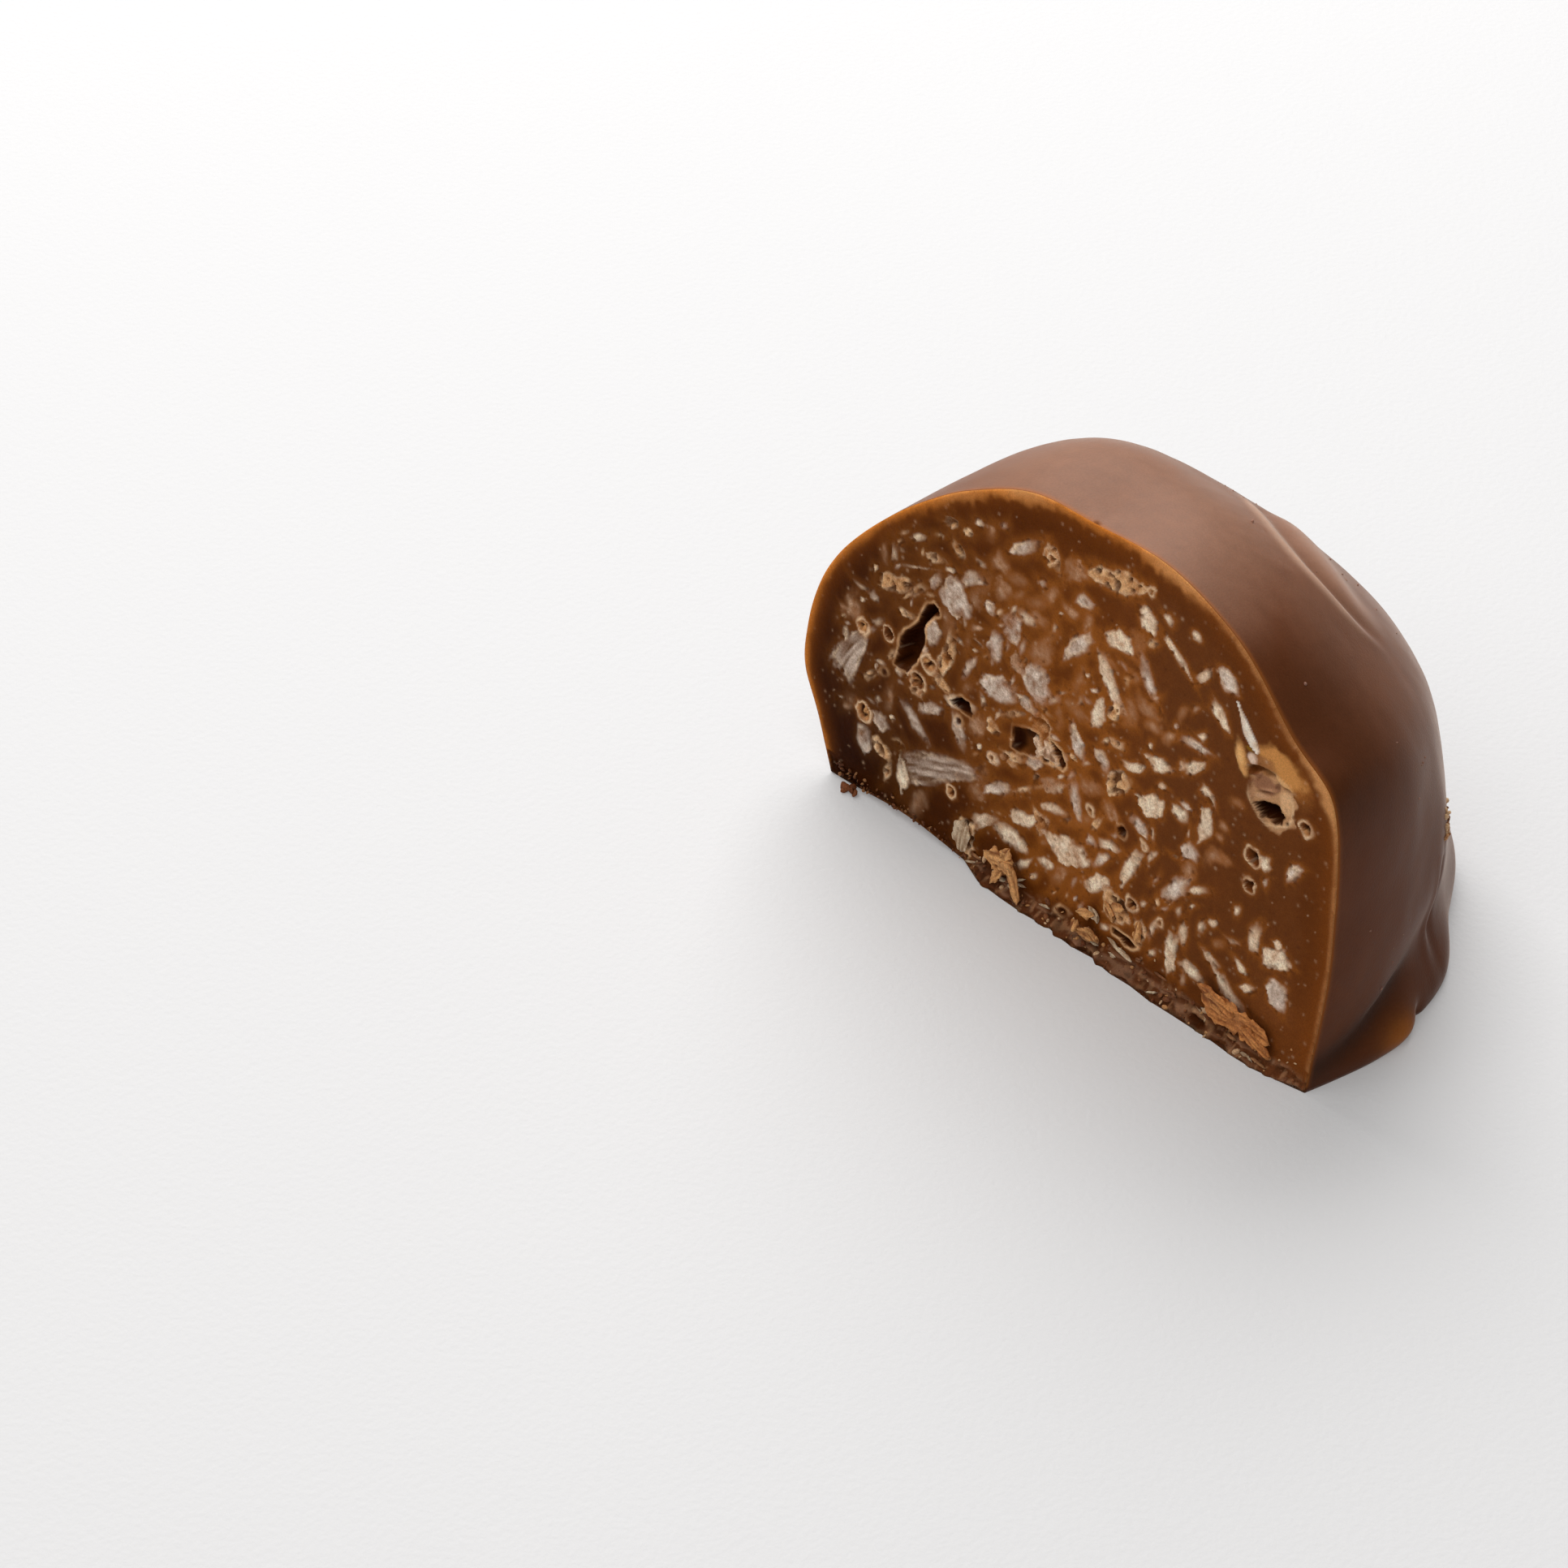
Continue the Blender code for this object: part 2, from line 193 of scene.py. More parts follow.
class Paint:
    """One material's nodes, around its Principled shader."""

    def __init__(self, name: str, constants: dict[str, object]) -> None:
        """Make the material.

        Args:
            name: The material's name.
            constants: The Principled sockets that are the same all over, and their values.
        """
        self.material = bpy.data.materials.new(name)
        self.material.use_nodes = True
        self.tree = self.material.node_tree
        self.shader = self.tree.nodes["Principled BSDF"]
        for socket, value in constants.items():
            self.shader.inputs[socket].default_value = value

    def node(self, kind: str, settings: dict[str, object], inputs: dict) -> bpy.types.Node:
        """Add any node.

        Args:
            kind: The node's type.
            settings: The node's own settings, set before its sockets.
            inputs: Values, sockets or Value objects for its inputs, by name or number.

        Returns:
            The new node.
        """
        made = self.tree.nodes.new(kind)
        stops = settings.pop("stops", None)
        for name, value in settings.items():
            setattr(made, name, value)
        if stops:
            while len(made.color_ramp.elements) < len(stops):
                made.color_ramp.elements.new(0.5)
            for element, (place, shade) in zip(made.color_ramp.elements, stops):
                element.position = place
                element.color = (*shade, 1.0)
        for name, value in inputs.items():
            self.feed(made.inputs[name], value)
        return made

    def feed(self, socket: bpy.types.NodeSocket, value: object) -> None:
        """Link a socket to a Value or an output, or set it to a constant.

        Args:
            socket: The input socket.
            value: A Value, an output socket or a constant.
        """
        if isinstance(value, Value):
            value = value.socket
        if isinstance(value, bpy.types.NodeSocket):
            self.tree.links.new(value, socket)
        else:
            socket.default_value = value

    def place(self) -> bpy.types.NodeSocket:
        """Return the object's own coordinates."""
        return self.node("ShaderNodeTexCoord", {}, {}).outputs["Object"]

    def grain(self, size: float, detail: float = 2.0, rough: float = 0.5) -> Value:
        """Return noise from 0 to 1 with lumps of a size in millimetres."""
        made = self.node("ShaderNodeTexNoise", {}, {
            "Vector": self.place(), "Scale": 1 / (size * MM), "Detail": detail, "Roughness": rough})
        return Value(self, made.outputs["Fac"])

    def painted(self, name: str) -> bpy.types.NodeSocket:
        """Return a colour that the mesh carries."""
        return self.node("ShaderNodeAttribute", {"attribute_name": name}, {}).outputs["Color"]

    def carried(self, name: str) -> Value:
        """Return a number that the mesh carries."""
        made = self.node("ShaderNodeAttribute", {"attribute_name": name}, {})
        return Value(self, made.outputs["Fac"])

    def mix(self, share: object, first: object, second: object, blend: str = "MIX") -> bpy.types.NodeSocket:
        """Return a mixed colour.

        Args:
            share: How much of the second colour there is.
            first: A colour or a socket.
            second: A colour or a socket.
            blend: The kind of mix.

        Returns:
            The mixed colour's socket.
        """
        made = self.node("ShaderNodeMix", {"data_type": "RGBA", "blend_type": blend}, {0: share})
        for number, colour in ((6, first), (7, second)):
            ready = (*colour, 1.0) if isinstance(colour, tuple) else colour
            self.feed(made.inputs[number], ready)
        return made.outputs[2]

    def varied(self, spread: Value, low: tuple, high: tuple) -> bpy.types.NodeSocket:
        """Return the tint that the mesh carries, darker and lighter as a number goes.

        Args:
            spread: The number, from 0 to 1.
            low: Where the darkest shade ends, and that shade.
            high: Where the lightest shade starts, and that shade.

        Returns:
            The colour's socket.
        """
        shade = self.node("ShaderNodeValToRGB", {"stops": (low, high)}, {"Fac": spread})
        return self.mix(1.0, self.painted("tint"), shade.outputs["Color"], "MULTIPLY")

    def wear(self, **sockets: object) -> None:
        """Feed the Principled's sockets that change over the surface."""
        for name, value in sockets.items():
            self.feed(self.shader.inputs[name.replace("_", " ")], value)

    def raise_by(self, height: Value, distance: float) -> None:
        """Drive the normal with a bump of a height in millimetres."""
        made = self.node("ShaderNodeBump", {}, {
            "Strength": 1.0, "Distance": distance * MM, "Height": height})
        self.feed(self.shader.inputs["Normal"], made.outputs["Normal"])


def new_piece(name: str, points: Array, faces: list, paint: Paint, smooth: bool = True) -> bpy.types.Object:
    """Make a piece from points in millimetres in the drawing frame.

    Args:
        name: The piece's name.
        points: Its points, one row each.
        faces: Its faces, as rows of point numbers.
        paint: Its finish.
        smooth: Whether its faces are shaded smooth.

    Returns:
        The new object, riding on the one body.
    """
    data = bpy.data.meshes.new(name)
    data.from_pydata((np.asarray(points) * MM + DOME_SHIFT).tolist(), [], faces)
    data.validate()
    shell = bmesh.new()
    shell.from_mesh(data)
    bmesh.ops.recalc_face_normals(shell, faces=shell.faces)
    shell.to_mesh(data)
    shell.free()
    if smooth:
        data.shade_smooth()
    data.materials.append(paint.material)
    made = bpy.data.objects.new(name, data)
    bpy.context.scene.collection.objects.link(made)
    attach(made, "root")
    return made


def store(made: bpy.types.Object, name: str, values: Array) -> None:
    """Store a colour or a number on each point of a piece.

    Args:
        made: The piece.
        name: The attribute's name.
        values: One row, or one number, for each point.
    """
    coloured = values.ndim == 2
    kind = "FLOAT_COLOR" if coloured else "FLOAT"
    layer = made.data.attributes.new(name, kind, "POINT")
    if coloured:
        flat = np.concatenate([np.clip(values, 0, 1), np.ones((len(values), 1))], 1)
        layer.data.foreach_set("color", flat.astype(np.float32).ravel())
    else:
        layer.data.foreach_set("value", values.astype(np.float32))


@dataclass(frozen=True)
class Swell:
    """A soft lump in the dome, or a hollow where the rise is negative, with its half sizes."""

    azimuth: float
    height: float
    half_angle: float
    half_height: float
    rise: float


@dataclass(frozen=True)
class Fold:
    """The crease down the back of the right shoulder, with a soft lobe behind it, from above."""

    start: tuple[float, float] = (2.6, 8.6)
    middle: tuple[float, float] = (6.6, 6.1)
    end: tuple[float, float] = (11.6, 7.9)
    depth: float = 0.42
    half_width: float = 0.75
    lobe_rise: float = 0.12
    lobe_offset: float = 2.0
    lobe_half_width: float = 1.3
    ridge_rise: float = 0.0
    ridge_offset: float = -0.62
    ridge_half_width: float = 0.35
    end_fade: float = 1.5
    ridge_end_fade: float = 1.2

    def ridge(self, x: Array, y: Array) -> Array:
        """Return how near each place is to the ridge in front of the crease, from 0 to 1."""
        offset, beyond_ends = self.place(x, y)
        away = (offset - self.ridge_offset) / self.ridge_half_width
        return bump(away) * bump(beyond_ends / self.ridge_end_fade)

    def behind(self, x: Array, y: Array) -> Array:
        """Return how near each place is to the middle of the lobe, from 0 to 1."""
        offset, beyond_ends = self.place(x, y)
        return bump((offset - self.lobe_offset) / self.lobe_half_width) * bump(beyond_ends / self.end_fade)

    def push(self, x: Array, y: Array) -> Array:
        """Return how far the fold moves the dome out, seen from above.

        Args:
            x: Place along the cut.
            y: Place back from the cut.

        Returns:
            The move outward.
        """
        offset, beyond_ends = self.place(x, y)
        groove = -self.depth * bump(offset / self.half_width)
        lobe = self.lobe_rise * bump((offset - self.lobe_offset) / self.lobe_half_width)
        return (groove + lobe) * bump(beyond_ends / self.end_fade) + self.ridge_rise * self.ridge(x, y)

    def place(self, x: Array, y: Array) -> tuple[Array, Array]:
        """Return the distance behind the crease, and the distance past its ends.

        Args:
            x: Place along the cut.
            y: Place back from the cut.

        Returns:
            Both distances.
        """
        start, middle, end = (np.array(point) for point in (self.start, self.middle, self.end))
        steps = np.linspace(0, 1, 25)[:, None]
        line = (1 - steps)**2 * start + 2 * steps * (1 - steps) * middle + steps**2 * end
        run = np.gradient(line, axis=0)
        side = np.stack([-run[:, 1], run[:, 0]], 1) / np.linalg.norm(run, axis=1)[:, None]
        offset = np.zeros_like(x)
        spare = np.full_like(x, 1e9)
        for point, across in zip(line, side):
            away = np.hypot(x - point[0], y - point[1])
            nearer = away < spare
            spare = np.where(nearer, away, spare)
            offset = np.where(nearer, (x - point[0]) * across[0] + (y - point[1]) * across[1], offset)
        return offset, np.sqrt(np.maximum(spare**2 - offset**2, 0))


@dataclass
class Dome:
    """The form of the half dome: its upright sections, its lumps, its fold and its ragged base."""

    axis_x: float = 1.0
    crown_height: float = 21.85
    crown_wall: float = 1.5
    base_layer: float = 0.9
    # Keyed by azimuth from +X: foot, belly, flank, shoulder, brow and top, each as distance from the
    # axis, height and coating thickness.
    sections: dict[float, tuple] = field(default_factory=lambda: {
        0: ((14.2, 0.0, 1.7), (15.2, 8.5, 1.6), (14.9, 14.6, 1.5), (12.0, 17.4, 1.4), (8.3, 20.65, 1.5),
            (4.0, 22.0, 1.4)),
        50: ((15.9, 0.0, 2.3), (15.75, 7.5, 1.9), (14.65, 12.9, 1.7), (11.5, 17.2, 1.7), (8.2, 20.1, 1.7),
             (4.1, 22.0, 1.7)),
        95: ((18.4, 0.0, 2.2), (17.8, 6.5, 2.0), (16.1, 11.5, 1.9), (12.6, 16.1, 1.9), (8.5, 19.8, 1.9),
             (4.2, 21.95, 1.9)),
        140: ((17.7, 0.0, 2.1), (18.2, 5.6, 2.0), (16.9, 11.6, 2.0), (13.7, 16.5, 2.0), (9.2, 20.5, 2.0),
              (4.8, 22.1, 1.9)),
        180: ((17.1, 0.0, 1.9), (19.05, 5.9, 1.9), (17.5, 10.9, 2.0), (13.0, 16.0, 2.0), (8.0, 19.7, 1.9),
              (3.6, 21.6, 1.7)),
    })
    stations: tuple[float, ...] = (0.0, 0.27, 0.44, 0.63, 0.79, 0.91, 1.0)
    swells: tuple[Swell, ...] = (
        Swell(40, 0.6, 11, 1.6, 0.75), Swell(19, 0.7, 10, 1.2, 0.65), Swell(31, 3.9, 12, 1.5, -0.35),
        Swell(38, 8.4, 7, 2.6, 0.25), Swell(39, 5.8, 2.4, 0.9, -0.45), Swell(68, 1.0, 12, 2.6, 1.0),
        Swell(122, 1.0, 14, 1.8, 0.4), Swell(150, 3.0, 9, 2.4, -0.25), Swell(180, 3.0, 14, 1.7, -0.38),
        Swell(3, 15.7, 6, 0.9, 0.14),
    )
    # Smaller lumps and hollows round the toe, too fine for the solids.
    finer_swells: tuple[Swell, ...] = (
        Swell(22.5, 0.5, 4.0, 0.9, 0.22), Swell(28.0, 0.2, 1.7, 0.8, -0.28),
        Swell(22, 2.9, 5, 0.8, -0.32), Swell(16, 2.3, 5, 0.7, -0.32), Swell(9, 1.7, 5, 0.6, -0.18),
        Swell(37, 4.6, 1.2, 2.6, -0.16), Swell(34, 4.4, 1.2, 2.4, 0.12),
    )
    fold: Fold = Fold()
    finer_fold: Fold = Fold(
        start=(2.2, 9.0), middle=(8.7, 5.6), end=(9.7, 9.9), depth=0.15, half_width=0.45,
        lobe_rise=0.15, lobe_offset=1.3, lobe_half_width=1.0, ridge_rise=0.08)
    lip_from_x: float = -6.8
    lip_to_x: float = 14.6
    lip_reach: float = 0.55
    lip_raggedness: float = 0.16
    lip_height: float = 0.4
    lip_taper: float = 1.5
    lip_seed: int = 9
    arch_x: float = -10.6
    arch_half_width: float = 3.4
    arch_height: float = 0.45
    arch_depth: float = 2.2
    wave_seed: int = 5
    mean_radius: float = 16.0
    crease_heights: tuple[float, float] = (15.8, 18.6)
    base_steps: int = 11
    cad_steps: tuple[int, int] = (42, 24)

    def read_sections(self, azimuths: Array, steps: int) -> Array:
        """Return distance, height and thickness for each azimuth and each step from foot to crown.

        Args:
            azimuths: Azimuths from +X, in degrees.
            steps: Steps from foot to crown.

        Returns:
            The three measures along the last axis.
        """
        crown = (0.0, self.crown_height, self.crown_wall)
        sections = np.array([(*stations, crown) for stations in self.sections.values()])
        along = smooth_through(self.stations, sections.transpose(1, 0, 2), np.linspace(0, 1, steps + 1))
        return smooth_through(list(self.sections), along.transpose(1, 0, 2), azimuths)

    def outward(self, distance: Array, height: Array) -> tuple[Array, Array]:
        """Return the outward direction across each section, in distance and height.

        Args:
            distance: Distance from the axis.
            height: Height above the base.

        Returns:
            The direction's part in distance, and its part in height.
        """
        run = np.gradient(distance, axis=1)
        climb = np.gradient(height, axis=1)
        length = np.hypot(run, climb)
        across, up = climb / length, -run / length
        across[:, -1], up[:, -1] = 0.0, 1.0
        return across, up

    def lumps(self, swells: tuple[Swell, ...], azimuths: Array, height: Array) -> Array:
        """Return how far the swells push the dome out.

        Args:
            swells: The lumps and hollows.
            azimuths: The azimuth of each row.
            height: The height at each place.

        Returns:
            The push at each place.
        """
        total = np.zeros_like(height)
        for swell in swells:
            around = (azimuths[:, None] - swell.azimuth) / swell.half_angle
            above = (height - swell.height) / swell.half_height
            total += swell.rise * bump(np.hypot(around, above))
        return total

    def with_base(self, azimuths: Array, distance: Array, height: Array, floor: float) -> Array:
        """Join a flat base, made of rings from the axis to the foot, to the dome above it.

        Args:
            azimuths: The azimuth of each row.
            distance: Distance from the axis.
            height: Height at each place.
            floor: The base's height.

        Returns:
            The grid of points.
        """
        shares = np.linspace(0, 1, self.base_steps + 1)[:-1]
        flat = distance[:, :1] * shares
        distance = np.concatenate([flat, distance], 1)
        height = np.concatenate([np.full_like(flat, floor), height], 1)
        angle = np.radians(azimuths)[:, None]
        on_cut = ((azimuths == 0) | (azimuths == 180))[:, None]
        sine = np.where(on_cut, 0.0, np.sin(angle))
        return np.stack([self.axis_x + distance * np.cos(angle), distance * sine, height], -1)

    def lip(self, x: Array, z: Array, finer: bool = True) -> Array:
        """Return how far the base's ragged lip stands forward of the cut.

        Args:
            x: Place along the cut.
            z: Height.
            finer: Whether the lip is crumbly, which the solids leave out.

        Returns:
            The lip's reach at each place.
        """
        inside = np.clip((x - self.lip_from_x) / self.lip_taper, 0, 1)
        inside = inside * np.clip((self.lip_to_x - x) / self.lip_taper, 0, 1)
        ragged = np.sin(2.3 * x) + np.sin(5.1 * x + 1.0)
        if finer:
            ragged = 0.35 * ragged + 0.8 * Noise(self.lip_seed).layered(x, z, 0.4)
        return (self.lip_reach + self.lip_raggedness * ragged) * inside * bump(z / self.lip_height)

    def arch(self, x: Array) -> Array:
        """Return how far the left end of the base is lifted at the cut."""
        return self.arch_height * bump((x - self.arch_x) / self.arch_half_width)

    def skin(self, azimuths: Array, steps: int, finer: bool = True) -> Array:
        """Return the coating's outer skin, from the middle of its base to its crown.

        Args:
            azimuths: The azimuths of the grid's rows, in degrees.
            steps: Steps from foot to crown.
            finer: Whether the surface has its small unevenness, which the solids leave out.

        Returns:
            The grid of points.
        """
        distance, height, _ = np.moveaxis(self.read_sections(azimuths, steps), -1, 0)
        across, up = self.outward(distance, height)
        angle = np.radians(azimuths)[:, None]
        push = self.lumps(self.swells, azimuths, height)
        fold = self.finer_fold if finer else self.fold
        crease = fold.push(self.axis_x + distance * np.cos(angle), distance * np.sin(angle))
        if finer:
            crease *= ramp(*self.crease_heights, height)
            push += self.lumps(self.finer_swells, azimuths, height)
            push += self.unevenness(angle * self.mean_radius, height + 0 * angle)
        push += crease
        distance = distance + push * across
        height = height + push * up * np.clip(height, 0, 1)
        distance[:, -1], height[:, -1] = 0.0, self.crown_height
        x, y, z = np.moveaxis(self.with_base(azimuths, distance, height, 0.0), -1, 0)
        lifted = self.arch(x) * bump(y / self.arch_depth) * bump(z / 1.2)
        return np.stack([x, y - self.lip(x, z, finer) * bump(y / 0.7), z + lifted], -1)

    def unevenness(self, around: Array, height: Array) -> Array:
        """Return the small waves and knocks that a set coating has.

        Args:
            around: Place round the dome, in millimetres.
            height: Height at each place.

        Returns:
            The push outward.
        """
        noise = Noise(self.wave_seed)
        waves = 0.035 * noise.at(around, height, 3.1) + 0.012 * noise.at(around + 31, height + 17, 1.1)
        return waves * np.clip(height, 0, 1) * np.clip((self.crown_height - height) / 1.5, 0, 1)

    def wall(self, azimuths: Array, steps: int, inset: float) -> Array:
        """Return the inner wall of the coating, moved in by the inset.

        Args:
            azimuths: The azimuths of the grid's rows.
            steps: Steps from foot to crown.
            inset: How far the wall is moved in.

        Returns:
            The grid of points.
        """
        distance, height, thickness = np.moveaxis(self.read_sections(azimuths, steps), -1, 0)
        across, up = self.outward(distance, height)
        floor = self.base_layer + inset
        distance = distance - (thickness + inset) * across
        height = height - (thickness + inset) * up * np.clip(height / 3, 0, 1)
        crown = self.crown_height - self.crown_wall - inset
        distance[:, -1], height[:, -1] = 0.0, crown
        height = floor + height * (1 - floor / crown)
        return self.with_base(azimuths, distance, height, floor)

    def shift(self) -> Array:
        """Return the move, in metres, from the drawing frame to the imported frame.

        Returns:
            The move.
        """
        around, steps = self.cad_steps
        coarse = self.skin(np.linspace(0, 180, around + 1), steps, finer=False).reshape(-1, 3)
        low, high = (np.array(corner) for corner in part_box("coating"))
        middle = (coarse.min(0) + coarse.max(0)) / 2 * MM
        move = (low + high) / 2 - middle
        move[2] = low[2]
        return move


DOME = Dome()
DOME_SHIFT = DOME.shift()


def grid_faces(rows: int, columns: int, start: int = 0, flip: bool = False) -> list:
    """Return the four-sided faces of a grid of points numbered row by row.

    Args:
        rows: Rows of points.
        columns: Points in each row.
        start: The first point's number.
        flip: Whether the faces look the other way.

    Returns:
        The faces, as rows of point numbers.
    """
    numbers = np.arange(rows * columns).reshape(rows, columns) + start
    corners = [numbers[:-1, :-1], numbers[1:, :-1], numbers[1:, 1:], numbers[:-1, 1:]]
    faces = np.stack([corner.ravel() for corner in corners], 1)
    return (faces if flip else faces[:, ::-1]).tolist()


class Kind(Enum):
    """How a coconut piece looks where the knife went through it."""

    WHITE = "bright and crisp"
    GREY = "glassy grey"
    SOFT = "seen through a film of chocolate"
    TAN = "porous and tan"
    FIBRE = "long and streaked"


@dataclass(frozen=True)
class Spot:
    """A tilted spot on the cut: its middle, length, width and tilt from +X."""

    x: float
    z: float
    length: float
    width: float
    tilt: float


@dataclass(frozen=True)
class Flake(Spot):
    """One coconut piece on the cut, of one kind."""

    kind: Kind = Kind.WHITE


@dataclass(frozen=True)
class Ring:
    """A small round bubble with a pale rim, full of foam unless it is hollow."""

    x: float
    z: float
    size: float
    hollow: bool = False


@dataclass(frozen=True)
class Pit(Spot):
    """A torn bubble, with its depth and how pale its rim is."""

    depth: float
    rim: float = 0.4


@dataclass(frozen=True)
class Tear:
    """A larger torn hole, by the corners of its outline, with its depth, how pale its rim is, and its
    floor's colour where painted light falls on it.
    """

    corners: tuple[tuple[float, float], ...]
    depth: float
    rim: float = 0.5
    floor: Colour = tone(84, 40, 11)


def beyond(x: Array, z: Array, corners: tuple[tuple[float, float], ...]) -> Array:
    """Return how far each place is outside a closed outline, negative inside it.

    Args:
        x: Place along the cut.
        z: Height.
        corners: The outline's corners, in order.

    Returns:
        The distance at each place.
    """
    away = np.full_like(x, 1e9)
    inside = np.zeros(x.shape, bool)
    for (x1, z1), (x2, z2) in zip(corners, corners[1:] + corners[:1]):
        run, climb = x2 - x1, z2 - z1
        share = np.clip(((x - x1) * run + (z - z1) * climb) / (run * run + climb * climb), 0, 1)
        away = np.minimum(away, np.hypot(x - x1 - share * run, z - z1 - share * climb))
        if z1 != z2:
            inside ^= ((z1 > z) != (z2 > z)) & (x < x1 + (z - z1) * run / climb)
    return np.where(inside, -away, away)


@dataclass(frozen=True)
class Dab(Spot):
    """One soft-edged patch, with its colour, strength, rise and softness."""

    colour: Colour
    strength: float = 0.85
    rise: float = 0.0
    softness: float = 0.11


G, S, T, F = Kind.GREY, Kind.SOFT, Kind.TAN, Kind.FIBRE

